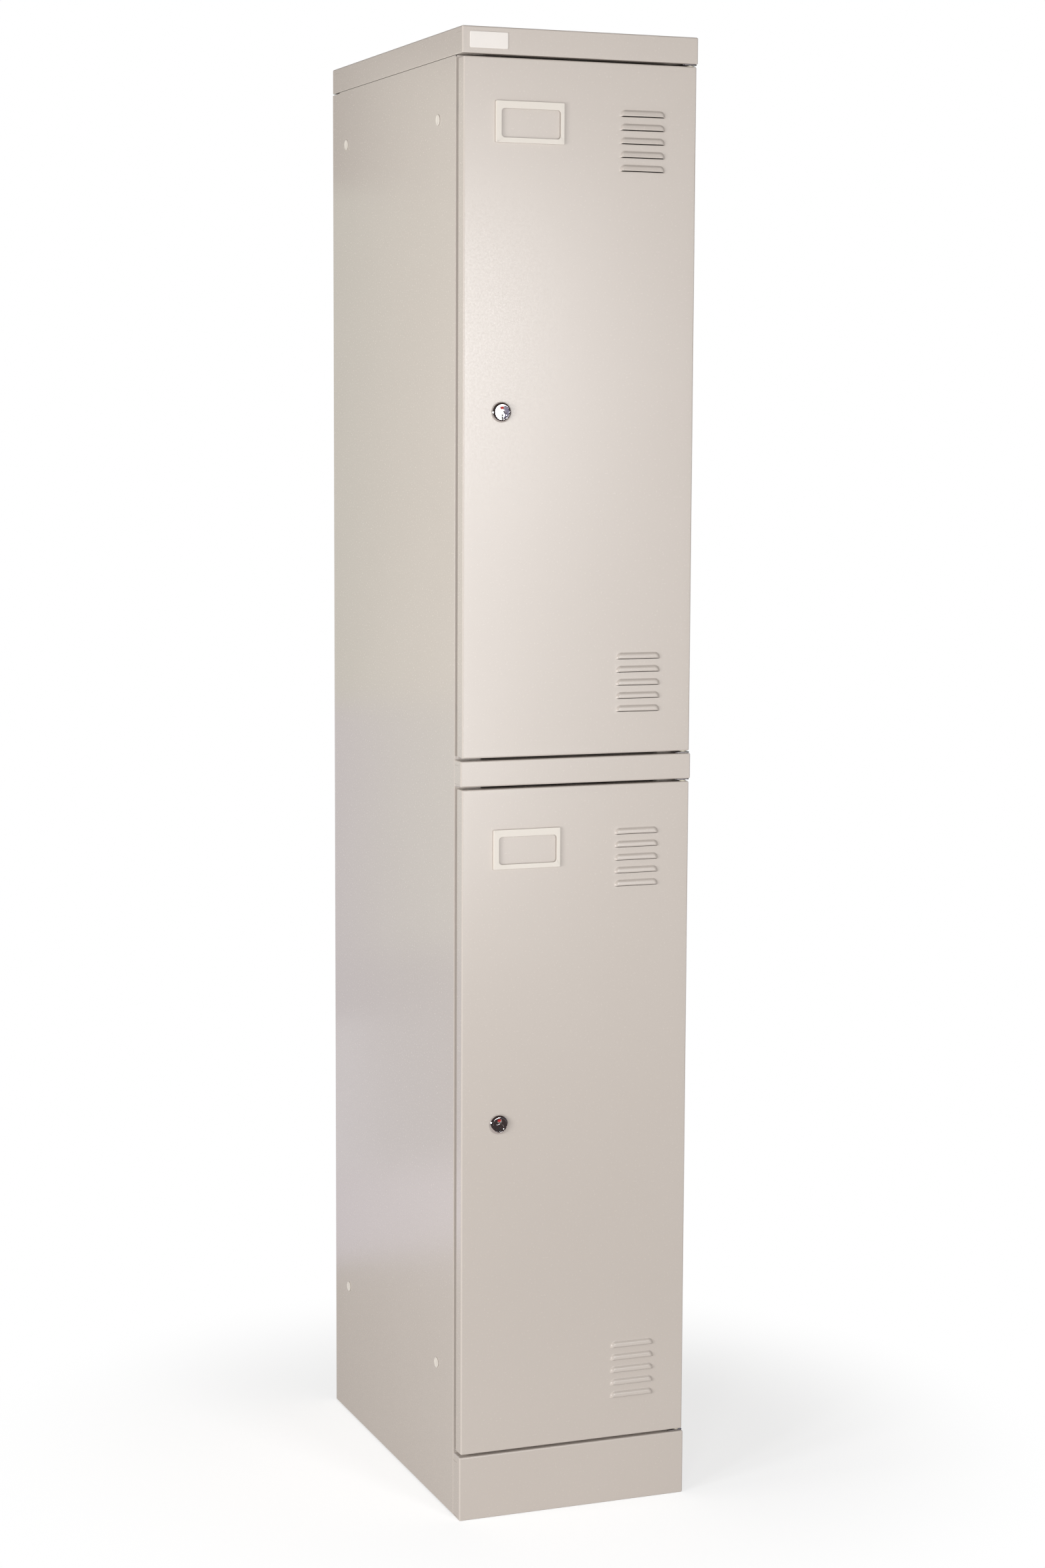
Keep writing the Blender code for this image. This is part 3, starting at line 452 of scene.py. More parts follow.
def foldBends(radius):
    if pick("EDGE", isFold):
        bpy.ops.mesh.bevel(
            offset=radius,
            offset_type="OFFSET",
            segments=sheet["bendSteps"],
            profile=0.5,
            affect="EDGES",
            clamp_overlap=False,
        )


def thicken(thing):
    # gives a sheet its thickness and rounds off its cut edges, but leaves its bends alone
    addModifier(
        thing,
        "SOLIDIFY",
        thickness=sheet["thick"],
        offset=-1.0,
        use_even_offset=True,
        use_quality_normals=True,
    )
    addModifier(
        thing,
        "BEVEL",
        width=sheet["rim"],
        segments=sheet["rimSteps"],
        limit_method="ANGLE",
        angle_limit=math.radians(60),
        use_clamp_overlap=False,
    )


def weld():
    selectAll()
    bpy.ops.mesh.remove_doubles(threshold=sheet["weld"])


def makePan(name, low, high, openAxis, openSign, lip):
    # five sides of a box with a lip turned in round the open one, still without thickness
    pan = addBox(name, low, high)
    openMesh(pan)
    pick("FACE", lambda face: face.normal[openAxis] * openSign > 0.9)
    bpy.ops.mesh.inset(thickness=lip, use_even_offset=True)
    bpy.ops.mesh.delete(type="ONLY_FACE")
    closeMesh()
    return pan


def foldPan(pan, low, high, openAxis, openSign):
    # the pan's own corners are wide bends, and the lip round its open side is a tight one
    rim = (high if openSign > 0 else low)[openAxis]
    openMesh(pan)
    shape = bmesh.from_edit_mesh(pan.data)
    shape.normal_update()
    share = shape.edges.layers.float.new("bevel_weight_edge")
    onRim = wholly(lambda vert: near(vert.co[openAxis], rim))
    for edge in filter(isFold, shape.edges):
        edge[share] = sheet["tightBend"] / sheet["bend"] if onRim(edge) else 1.0
    bmesh.update_edit_mesh(pan.data)
    closeMesh()
    addModifier(
        pan,
        "BEVEL",
        width=sheet["bend"],
        segments=sheet["bendSteps"],
        limit_method="WEIGHT",
        use_clamp_overlap=False,
    )


def keepWithin(thing, low, high):
    # pulls corner points that a bevel has thrown out back to the box
    for vert in thing.data.vertices:
        vert.co = [min(max(vert.co[axis], low[axis]), high[axis]) for axis in range(3)]


def addPlane(name, low, high):
    # a rectangle between two corners that differ along two axes
    deselect()
    low, high = Vector(low), Vector(high)
    flat = min(range(3), key=lambda axis: abs(high[axis] - low[axis]))
    turn = turns[("+X", "-Y", "+Z")[flat]]
    bpy.ops.mesh.primitive_plane_add(size=1, location=(low + high) / 2, rotation=turn)
    thing = bpy.context.object
    thing.name = name
    bpy.ops.object.transform_apply(location=False, rotation=True, scale=False)
    thing.scale = [abs(high[axis] - low[axis]) if axis != flat else 1 for axis in range(3)]
    applyTransform()
    return thing


def facesBack(face):
    return face.normal.y > 0.9


def makeStrip(name, corners, run, faceRule=facesBack, bend=sheet["bend"]):
    # a sheet folded along a line of corners, each leg extruded from the last one's edge
    run = Vector(run)
    corners = [Vector(corner) for corner in corners]
    strip = addPlane(name, corners[0], corners[1] + run)
    openMesh(strip)
    along = max(range(3), key=lambda axis: abs(run[axis]))
    across = [axis for axis in range(3) if axis != along]
    for last, corner in zip(corners[1:], corners[2:]):
        isLast = lambda vert: all(near(vert.co[axis], last[axis]) for axis in across)
        pick("EDGE", wholly(isLast))
        extrude(corner - last)
    weld()
    faceOut(faceRule)
    foldBends(bend)
    closeMesh()
    return strip


def keepFlat(margin=0.00006):
    # a hair-thin strip round the flat front, so that the bends beside it don't shade across
    pick("FACE", lambda face: face.normal.y < -0.9999)
    bpy.ops.mesh.inset(thickness=margin, use_boundary=True, use_even_offset=True)


def drill(thing, centre, radius, facing, reach=sheet["boreReach"], count=48, solver="EXACT"):
    # a round hole that reaches so far to both sides of a place
    cutTurned(thing, [(radius, -reach), (radius, reach)], centre, facing, count, solver=solver)


# doors
louvre = {
    "rows": 5,
    "pitch": 0.016,
    "width": 0.0583,
    "height": 0.0085,
    "corner": 0.0068,
    "cornerSteps": 10,
    "slotCuts": 9,
    "border": 0.0040,  # plain skin left and right of a hood in its patch
    "below": 0.0030,  # and beneath its slot
    "raise": 0.0009,  # the hood's edge is drawn up so far from the cut
    # how the hood leaves the skin: each step inwards, and how far it comes forward there
    "steps": (
        (0.00035, 0.00006), (0.00035, 0.00020), (0.00035, 0.00036),
        (0.00040, 0.00052), (0.00045, 0.00052), (0.00050, 0.00042),
        (0.00060, 0.00030), (0.00070, 0.00018), (0.00080, 0.00010),
    ),
    "lean": 0.00022,  # the hood's face comes forward so much more on its way down
    "tuck": 0.00042,  # and its edge turns back in so far
    "tuckHeight": 0.0013,
    # rows of the hood's face, in shares of the tuck's height, of the lean and of the tuck
    "tuckShares": ((2.2, 0.6, 0), (1, 1, 0), (0.5, 1, 0.25), (0, 1, 1)),
    "column": 0.07835,  # X of the hoods' middle
    "topDrop": 0.0622,
    "bottomRise": 0.0504,
}
door = {
    "depth": 0.0185,
    "lip": 0.012,
    "frameInset": 0.010,
    "hoodRoom": 0.01,  # nothing of a hood stands further out than this
    "lockX": -0.1,
    "lockHole": 0.00955,
    "hingeX": 0.142,
    "hingeBack": 0.006,
    "bushHole": 0.0037,
}


def makeLouvrePatch(look):
    # one hood pressed out of a rectangle of skin, its slot along Z = 0 and its middle at X = 0
    half = look["width"] / 2
    patch = addPlane("louvrePatch", (-half, 0, 0), (half, 0, look["height"]))
    openMesh(patch)
    pick("VERT", lambda vert: vert.co.z > look["height"] / 2)
    bpy.ops.mesh.bevel(
        offset=look["corner"], segments=look["cornerSteps"], affect="VERTICES", clamp_overlap=False
    )
    onSlot = lambda vert: near(vert.co.z, 0)
    pick("EDGE", wholly(onSlot))
    bpy.ops.mesh.subdivide(number_cuts=look["slotCuts"])
    bpy.ops.mesh.select_all(action="DESELECT")
    middle = (0, 0, look["pitch"] / 2 - look["below"])
    bpy.ops.mesh.primitive_plane_add(size=1, location=middle, rotation=turns["-Y"])
    wide = 2 * (half + look["border"])
    bpy.ops.transform.resize(value=(wide, 1, look["pitch"]), center_override=middle)
    inSpan = lambda vert: abs(vert.co.x) < half + look["border"] / 2
    pick("FACE", wholly(lambda vert: not inSpan(vert)))
    bpy.ops.mesh.delete(type="ONLY_FACE")
    pick("EDGE", lambda edge: True)
    bpy.ops.mesh.bridge_edge_loops()
    faceOut(lambda face: face.normal.y < -0.9)
    pick("EDGE", wholly(lambda vert: onSlot(vert) and inSpan(vert)))
    bpy.ops.mesh.edge_split(type="EDGE")
    # the hood is the face that has the many points of the slot, above the slot
    inHood = wholly(lambda vert: vert.co.z > -tiny and inSpan(vert))
    pick("FACE", lambda face: len(face.verts) > look["slotCuts"] and inHood(face))
    reached = 0
    for run, rise in look["steps"]:
        bpy.ops.mesh.inset(thickness=run, depth=rise, use_boundary=False, use_even_offset=True)
        reached += rise
    # the plateau leans out towards the slot, and its last edge turns back in
    atTop = lambda vert: near(vert.co.y, -reached)
    rows = []
    for share, lean, tuck in look["tuckShares"]:
        height = look["tuckHeight"] * share + look["raise"] if share else 0
        rows.append((height, tuck * look["tuck"] - lean * look["lean"]))
        if share:
            pick("FACE", wholly(atTop))
            bpy.ops.mesh.bisect(plane_co=(0, 0, height), plane_no=(0, 0, 1), use_fill=False)
    for height, shift in rows:
        pick("VERT", lambda vert: atTop(vert) and near(vert.co.z, height))
        move((0, shift, 0))
    # the hood's lower edge is drawn up in step with how far it stands out
    shape = bmesh.from_edit_mesh(patch.data)
    hoodEdge = [vert.co.y for vert in shape.verts if onSlot(vert) and vert.co.y < -tiny]
    outs = sorted({round(out, 6) for out in hoodEdge})
    for out in outs:
        pick("VERT", lambda vert: onSlot(vert) and near(vert.co.y, out, tiny / 10))
        move((0, 0, look["raise"] * out / outs[0]))
    closeMesh()
    return patch


def louvreHeights(low, high):
    # the slots' heights in a door that reaches from low to high, the upper group first
    rows = [row * louvre["pitch"] for row in range(louvre["rows"])]
    top = [high - louvre["topDrop"] - row for row in reversed(rows)]
    return top, [low + louvre["bottomRise"] + row for row in rows]


def makeDoor(level):
    node = f"{level}_door"
    low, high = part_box(node)
    low, high = Vector((low.x, front, low.z)), Vector((high.x, front + door["depth"], high.z))
    skin = makePan(f"{level}DoorSkin", low, high, 1, 1, door["lip"])
    foldPan(skin, low, high, 1, 1)
    openMesh(skin)
    isFront = lambda face: face.normal.y < -0.999
    pick("FACE", isFront)
    inset = door["frameInset"]
    bpy.ops.mesh.inset(thickness=inset)
    inFrame = wholly(lambda vert: low.x + inset < vert.co.x < high.x - inset)
    isInner = lambda face: isFront(face) and inFrame(face)
    side = louvre["width"] / 2 + louvre["border"]
    pitch, below = louvre["pitch"], louvre["below"]
    groups = louvreHeights(low.z, high.z)
    cuts = [((louvre["column"] + way * side, 0, 0), (1, 0, 0)) for way in (-1, 1)]
    for heights in groups:
        foot = heights[0] - below
        cuts += [((0, 0, foot + row * pitch), (0, 0, 1)) for row in range(louvre["rows"] + 1)]
    for spot, normal in cuts:
        pick("FACE", isInner)
        bpy.ops.mesh.bisect(plane_co=spot, plane_no=normal)
    spans = [(heights[0] - below, heights[-1] + pitch - below) for heights in groups]

    def underHoods(face):
        centre = face.calc_center_median()
        inColumn = abs(centre.x - louvre["column"]) < side
        return isInner(face) and inColumn and any(foot < centre.z < head for foot, head in spans)

    pick("FACE", underHoods)
    bpy.ops.mesh.delete(type="FACE")
    closeMesh()
    spots = [(louvre["column"], front, height) for heights in groups for height in heights]
    skin = joined([skin] + [copied(louvrePatch, spot) for spot in spots])
    openMesh(skin)
    weld()
    closeMesh()
    thicken(skin)
    keepWithin(skin, low - Vector((0, door["hoodRoom"], 0)), high)
    # the exact solver fills this hole in one of the doors, so the other solver cuts it
    centre = (door["lockX"], front, (low.z + high.z) / 2)
    drill(skin, centre, door["lockHole"], "-Y", solver="MANIFOLD")
    for height in (low.z, high.z):
        spot = (door["hingeX"], front + door["hingeBack"], height)
        drill(skin, spot, door["bushHole"], "+Z", solver="MANIFOLD")
    standIn(skin, node, sheet["shading"])


louvrePatch = makeLouvrePatch(louvre)
for level in levels:
    makeDoor(level)
bpy.data.objects.remove(louvrePatch, do_unlink=True)
print("doors folded, with", louvre["rows"] * 4, "louvres")

# cap, rail and plinth
trays = {
    "capLip": 0.014,
    "capFrontLip": 0.040,
    "railLip": 0.012,
    "seam": 0.00035,  # width of the seams where the end flaps are tucked in
    "seamDepth": 0.0005,
    "pinHole": 0.0028,
}
# seams seen on the ends: height, then how far back from the front each begins and ends
seams = {
    "top_cap": ((1.7935, 0.0044, 0.0234), (1.7935, 0.4700, 0.4920)),
    "middle_rail": ((0.9345, 0.0067, 0.0240), (0.9120, 0.0054, 0.0240)),
    "plinth": ((0.0720, 0.0100, 0.0240), (0.0030, 0.0096, 0.0240)),
}


def cutSeams(thing, node):
    half = trays["seam"] / 2
    for way in (-1, 1):
        inner, outer = way * (halfWidth - trays["seamDepth"]), way * (halfWidth + clear)
        for height, start, end in seams[node]:
            low = (inner, front + start, height - half)
            carve(thing, low, (outer, front + end, height + half))


def makeTray(node, name, openAxis, openSign, lip, pinHeights):
    low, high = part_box(node)
    tray = makePan(name, low, high, openAxis, openSign, lip)
    solver = "EXACT"
    if node == "top_cap":
        # the exact solver fills the cap's pin hole, and the other one spoils the plinth
        solver = "MANIFOLD"
        openMesh(tray)
        pick("VERT", lambda vert: near(vert.co.y, front + lip) and near(vert.co.z, low.z))
        move((0, trays["capFrontLip"] - lip, 0))
        closeMesh()
    foldPan(tray, low, high, openAxis, openSign)
    thicken(tray)
    keepWithin(tray, low, high)
    for height in pinHeights:
        spot = (door["hingeX"], front + door["hingeBack"], height)
        drill(tray, spot, trays["pinHole"], "+Z", solver=solver)
    cutSeams(tray, node)
    standIn(tray, node, sheet["shading"])


railLow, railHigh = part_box("middle_rail")
makeTray("top_cap", "capShell", 2, -1, trays["capLip"], [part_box("top_cap")[0].z])
makeTray("middle_rail", "railShell", 1, 1, trays["railLip"], [railLow.z, railHigh.z])
makeTray("plinth", "plinthShell", 1, 1, trays["railLip"], [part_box("plinth")[1].z])
print("cap, rail and plinth folded")

# side panels
panel = {
    "stileBack": 0.0228,
    "stileWidth": 0.0345,
    "stileLip": 0.012,
    "rearFlange": 0.018,
    "rearNotch": (0.0038, 0.030, 0.0012),  # width, length and drop under the cap's rear end
    "frontNotch": 0.0016,
    "camSlot": (0.003, 0.002),  # the cam's way in through the stile's lip, on both sides of it
    "plugHole": 0.0053,
    # the dents that spot welding leaves: rings in shares of the radius and of the depth
    "weldShares": ((0.6, -1), (1, 0)),
    "weldFlareShare": 1.1,
    "weldRadius": 0.0030,
    "weldDepth": 0.00022,
    "weldPitch": 0.120,
    "weldLineShare": 0.55,  # of the flange's width
}


def spotWelds(thing, places, facing):
    # shallow round dents left by the welder's tip
    radius = panel["weldRadius"]
    rings = scaled(panel["weldShares"], radius, panel["weldDepth"])
    rings.append((radius * panel["weldFlareShare"], clear))
    tool = turnedPiece("weldTip", rings, (0, 0, 0), facing, 24)
    tips = joined([copied(tool, spot) for spot in places])
    bpy.data.objects.remove(tool, do_unlink=True)
    cutWith(thing, tips)


def makeSidePanel(side):
    way = sides[side]
    node = f"side_panel_{side}"
    low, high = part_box(node)
    edge, stileX = way * halfWidth, way * (halfWidth - panel["stileWidth"])
    stile = front + panel["stileBack"]
    corners = [
        (stileX, stile + panel["stileLip"], low.z),
        (stileX, stile, low.z),
        (edge, stile, low.z),
        (edge, rear, low.z),
        (way * (halfWidth - panel["rearFlange"]), rear, low.z),
    ]
    tall = high.z - low.z
    isRear = lambda face: facesBack(face) and face.calc_center_median().y > 0
    web = makeStrip(f"{side}SidePanel", corners, (0, 0, tall), isRear, sheet["tightBend"])
    thicken(web)
    past = 2 * clear
    outside, top = way * (halfWidth + past), high.z + past
    width, length, drop = panel["rearNotch"]
    inside = way * (halfWidth - width)
    carve(web, (inside, rear - length, high.z - drop), (outside, rear + past, top))
    notch = panel["frontNotch"]
    inside = way * (halfWidth - notch)
    carve(web, (inside, stile - past, high.z - notch), (outside, stile + notch, top))
    for plug in nodes:
        if plug.startswith(f"hole_plug_{side}"):
            centre = sum(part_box(plug), Vector()) / 2
            drill(web, (edge, centre.y, centre.z), panel["plugHole"], "+X", count=32)
    if side == "left":
        before, behind = panel["camSlot"]
        for level in levels:
            camLow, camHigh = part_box(f"{level}_cam")
            slotLow = (stileX - before, stile + sheet["thick"], camLow.z - clear)
            carve(web, slotLow, (stileX + behind, camHigh.y + clear, camHigh.z + clear))
    count = int(tall / panel["weldPitch"])
    step = tall / count
    flangeX = way * (halfWidth - panel["rearFlange"] * panel["weldLineShare"])
    spotWelds(web, [(flangeX, rear, low.z + step * (row + 0.5)) for row in range(count)], "+Y")
    standIn(web, node, sheet["shading"])


for side in sides:
    makeSidePanel(side)
print("side panels folded")

# back, shelves and door stiffeners
inner = {"backFoot": 0.015, "neckBack": 0.0141, "neckPlay": 0.0003, "stiffenerCrown": 0.020}


def makeBack():
    low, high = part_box("back_panel")
    foot = (low.x, high.y - inner["backFoot"], 0)
    corners = [foot, (low.x, high.y, 0), (low.x, high.y, high.z)]
    back = makeStrip("backPanel", corners, (high.x - low.x, 0, 0))
    thicken(back)
    standIn(back, "back_panel", sheet["shading"])


def makeShelf(node, name):
    # wide behind the stile lips and narrow between them, its edges folded down all round
    low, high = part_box(node)
    narrow = halfWidth - panel["stileWidth"] - inner["neckPlay"]
    neck = front + panel["stileBack"] + inner["neckBack"]
    shelf = addPlane(name, (low.x, low.y, high.z), (high.x, high.y, high.z))
    openMesh(shelf)
    cuts = [((0, neck, 0), (0, 1, 0))] + [((way * narrow, 0, 0), (1, 0, 0)) for way in (-1, 1)]
    for spot, normal in cuts:
        selectAll()
        bpy.ops.mesh.bisect(plane_co=spot, plane_no=normal)
    middle = lambda face: face.calc_center_median()
    pick("FACE", lambda face: middle(face).y < neck and abs(middle(face).x) > narrow)
    bpy.ops.mesh.delete(type="FACE")
    selectAll()
    bpy.ops.mesh.dissolve_limited(angle_limit=math.radians(1))
    pick("EDGE", lambda edge: edge.is_boundary)
    extrude((0, 0, low.z - high.z))
    faceOut(lambda face: face.normal.z > 0.9)
    foldBends(sheet["bend"])
    closeMesh()
    thicken(shelf)
    standIn(shelf, node, sheet["shading"])


def makeStiffener(level):
    # a hat section that lies on the back of the door's skin
    node = f"{level}_door_stiffener"
    low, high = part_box(node)
    centre = (low.x + high.x) / 2
    skin, crown = low.y + sheet["thick"], high.y
    wall, foot = inner["stiffenerCrown"] / 2, (high.x - low.x) / 2
    across = (-foot, -wall, -wall, wall, wall, foot)
    heights = (skin, skin, crown, crown, skin, skin)
    corners = [(centre + x, y, low.z) for x, y in zip(across, heights)]
    hat = makeStrip(f"{level}DoorStiffener", corners, (0, 0, high.z - low.z))
    thicken(hat)
    standIn(hat, node, sheet["shading"])


makeBack()
makeShelf("middle_shelf", "middleShelf")
makeShelf("floor_panel", "floorPanel")
print("back panel and shelves folded")
for level in levels:
    makeStiffener(level)

# label holders
label = {
    "thick": 0.0026,
    "gap": 0.0003,
    "left": 0.0072,
    "right": 0.0048,
    "top": 0.0088,
    "bottom": 0.0061,
    "outerCorner": 0.0014,
    "windowCorner": 0.0040,
    "outerEdge": 0.0006,
    "innerEdge": 0.0005,
    "pocket": 0.0028,
    "pocketThick": 0.0011,
    "postInset": 0.0120,
    # rings of a post behind the holder's back
    "post": ((0.0011, -0.0013), (0.0011, 0.0009), (0.00088, 0.0011)),
}


def makeLabelHolder(level):
    node = f"{level}_label_holder"
    low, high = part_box(node)
    seat = front - label["gap"]
    holder = addPlane(f"{level}LabelHolder", (low.x, seat, low.z), (high.x, seat, high.z))
    openMesh(holder)
    selectAll()
    bpy.ops.mesh.bevel(offset=label["outerCorner"], segments=4, affect="VERTICES")
    left, right = low.x + label["left"], high.x - label["right"]
    foot, head = low.z + label["bottom"], high.z - label["top"]
    middle = Vector(((left + right) / 2, seat, (foot + head) / 2))
    bpy.ops.mesh.select_all(action="DESELECT")
    bpy.ops.mesh.primitive_plane_add(size=1, location=middle, rotation=turns["-Y"])
    bpy.ops.transform.resize(value=(right - left, 1, head - foot), center_override=middle)
    bpy.ops.mesh.bevel(offset=label["windowCorner"], segments=8, affect="VERTICES")
    selectAll()
    bpy.ops.mesh.delete(type="ONLY_FACE")
    selectAll()
    bpy.ops.mesh.bridge_edge_loops()
    selectAll()
    extrude((0, -label["thick"], 0))
    selectAll()
    bpy.ops.mesh.normals_make_consistent(inside=False)
    outFront = seat - label["thick"]
    onFace = wholly(lambda vert: near(vert.co.y, outFront))
    inside = lambda value, start, end: start - tiny < value < end + tiny
    inWindow = wholly(lambda v: inside(v.co.x, left, right) and inside(v.co.z, foot, head))
    pick("EDGE", lambda edge: isFold(edge) and onFace(edge) and not inWindow(edge))
    bevelEdges(label["outerEdge"], 5)
    pick("EDGE", lambda edge: isFold(edge) and onFace(edge) and inWindow(edge))
    bevelEdges(label["innerEdge"], 4)
    keepFlat()
    closeMesh()
    # the card's pocket is open behind the window, and four posts clip through the skin
    reach = label["pocket"]
    pocketLow = (left - reach, seat - label["pocketThick"], foot - reach)
    carve(holder, pocketLow, (right + reach, seat + clear, head + reach))
    upper, lower = high.z - (label["top"] - reach) / 2, low.z + (label["bottom"] - reach) / 2
    for x in (low.x + label["postInset"], high.x - label["postInset"]):
        for z in (upper, lower):
            cutTurned(holder, label["post"], (x, seat, z), "+Y", 24, "UNION")
    standIn(holder, node, 40)


for level in levels:
    makeLabelHolder(level)
print("stiffeners and label holders made")

# plugs, blank plate and buffers
holePlug = {
    "radius": 0.0066,
    "proud": 0.0012,
    "dish": 0.0005,
    "stem": 0.0050,
    "stemLength": 0.0045,
    "stemEdge": 0.0006,
    "seat": 0.0003,
    "rim": 0.0001,
    # the dome in shares of the radius and of how far it stands proud
    "domeShares": (
        (1, 0.45), (0.985, 0.72), (0.945, 0.90), (0.90, 0.98),
        (0.85, 1), (0.80, 0.97), (0.74, 0.86), (0.66, 0.70),
    ),
    # and the bottom of the dish in shares of the radius and of its depth
    "dishShares": ((0.56, 0.94), (0.44, 1)),
}
plateLook = {"corner": 0.0015, "edge": 0.00045}
# shares of the buffer's half width and of its height
bufferShares = (
    (0.96, 0), (1, 0.06), (1, 0.50), (0.97, 0.70),
    (0.90, 0.86), (0.78, 0.96), (0.62, 1),
)


def makeHolePlug(node):
    way = sides["left" if "left" in node else "right"]
    low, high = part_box(node)
    centre = (way * halfWidth, (low.y + high.y) / 2, (low.z + high.z) / 2)
    wide, proud, stem = holePlug["radius"], holePlug["proud"], holePlug["stem"]
    end, edge = -holePlug["stemLength"], holePlug["stemEdge"]
    seat, rim = holePlug["seat"], holePlug["rim"]
    rings = [(stem - edge, end), (stem, end + edge), (stem, seat)]
    rings += [(wide - rim, seat), (wide, seat + rim)]
    rings += scaled(holePlug["domeShares"], wide, proud)
    dish = scaled(holePlug["dishShares"], wide, holePlug["dish"])
    rings += [(radius, proud - deep) for radius, deep in dish]
    name = node.replace("hole_plug", "holePlug")
    standIn(turnedPiece(name, rings, centre, "-X" if way < 0 else "+X", 48), node, 40)


def makeBlankPlate():
    low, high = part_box("blank_plate")
    plate = addBox("blankPlate", low, high)
    openMesh(plate)
    pick("EDGE", lambda edge: abs(edge.verts[0].co.y - edge.verts[1].co.y) > tiny)
    bevelEdges(plateLook["corner"], 8)
    onFace = wholly(lambda vert: near(vert.co.y, low.y))
    pick("EDGE", lambda edge: isFold(edge) and onFace(edge))
    bevelEdges(plateLook["edge"], 6)
    keepFlat()
    closeMesh()
    standIn(plate, "blank_plate", 40)


def makeBuffer(node):
    low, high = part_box(node)
    centre = ((low.x + high.x) / 2, high.y, (low.z + high.z) / 2)
    rings = scaled(bufferShares, (high.x - low.x) / 2, high.y - low.y)
    name = node.replace("_buffer", "DoorBuffer")
    standIn(turnedPiece(name, rings, centre, "-Y", 40), node, 40)


for node in list(nodes):
    if node.startswith("hole_plug"):
        makeHolePlug(node)
makeBlankPlate()
for node in list(nodes):
    if node.endswith("_buffer"):
        makeBuffer(node)
print("hole plugs, blank plate and buffers made")

# locks
lock = {
    "radius": 0.01225,
    "rim": 0.00015,
    "seat": 0.0003,  # gap between the rosette and the door
    "proud": 0.0043,
    "face": 0.0036,
    "crown": 0.00020,  # the face bulges so little that it only bends what it mirrors
    "faceRadius": 0.00865,
    "faceFoot": 0.0001,  # the face starts so far outside that radius
    "faceShares": (0.985, 0.94, 0.85, 0.75, 0.65, 0.55, 0.45, 0.35, 0.25, 0.15),
    "ringInside": 0.00905,
    "ringFoot": 0.0006,  # height at which the ring's rounding starts
    "ringTurn": 65,  # degrees the rounding turns through, so that it ends in an edge
    "ringSteps": 16,
    "ringEdge": 0.0002,
    "barrel": 0.00925,
    "barrelEdge": 0.0005,
    "chamberRadius": 0.01155,
    "chamber": (0.0009, 0.0022),  # from and to, in front of the door's face
    "plugDrop": 0.0036,
    "plugRadius": 0.0050,
    "plugFace": 0.00345,
    "plugBulge": (0.5, 0.00002),  # share of the radius, and height over the face
    "plugEdgeShares": ((0, 1), (1 / 3, 0.4), (1, 0)),
    "bore": 0.00515,
    "boreEdge": (0.0001, 0.0002),  # its edge is broken from below the face to above it
    "windowRise": 0.0050,
    "window": (0.0056, 0.0038),
    "windowCorner": 0.0007,
    "windowStop": 0.0008,  # how far inside the chamber the window's cut ends
    "plate": (0.0070, 0.0050, 0.0003),
    "plateCorner": 0.0006,
    "keySlit": (0.0008, 0.0026, 0.0020),  # width, reach above the axis and below it
    "keyHoles": ((0.0012, -0.0002), (0.0013, -0.0030)),  # radius and height of each
    "keyEdge": (0.00025, 0.0002, 0.0001),  # width, reach below the face and above it
    "keyDepth": 0.0080,
    "pinDrop": 0.0006,
    "pinPlay": 0.00005,
    "tang": 0.0035,
    "edge": 0.0003,  # small edges and clearances
    "reach": 0.006,  # the cutters start so far in front of the door
}
flag = {
    "patch": (0.0042, 0.0027),
    "patchCorner": 0.0003,
    "patchRise": 0.0001,
    "disc": 0.0064,
    "stem": (0.0005, 0.0058),  # half width and where it starts, inside the disc
    "thick": 0.0004,
    "layerShares": (0.5, 0.40, 0.45),  # half the thickness of disc, stem and patch
}
cam = {
    "corner": 0.0042,
    "screwShaft": 0.0016,
    "screwEdge": 0.0004,
    "headEdge": 0.0001,
    "headShares": ((1, 0.55), (0.96, 0.75), (0.86, 0.90), (0.70, 1)),
    "slot": (0.0005, 0.0010),  # half width and depth
    "nutTurned": (0.90, 1.02, 0.0007),  # inner and outer share of its width, then height
}


def lockCentre(level):
    low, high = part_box(f"{level}_lock_body")
    return Vector(((low.x + high.x) / 2, front, (low.z + high.z) / 2))


def lockAxis(level):
    # the key plug's axis, below the middle of the lock
    return lockCentre(level) - Vector((0, 0, lock["plugDrop"]))


def ringShape():
    # the rosette's ring from its foot to its inner edge, as rings of (radius, height)
    wide, foot, edge = lock["radius"], lock["ringFoot"], lock["ringEdge"]
    turn, steps = math.radians(lock["ringTurn"]), lock["ringSteps"]
    across = (wide - lock["ringInside"]) / (1 - math.cos(turn))
    tall = (lock["proud"] - foot) / math.sin(turn)
    radius, height = lock["ringInside"], lock["proud"] - edge
    rings = []
    for angle in (turn * step / steps for step in range(steps + 1)):
        rings.append((wide - across * (1 - math.cos(angle)), foot + tall * math.sin(angle)))
    for angle in (math.pi / 2 + math.pi / 8 * step for step in range(1, 5)):
        rings.append((radius + edge * math.cos(angle), height + edge * math.sin(angle)))
    return rings


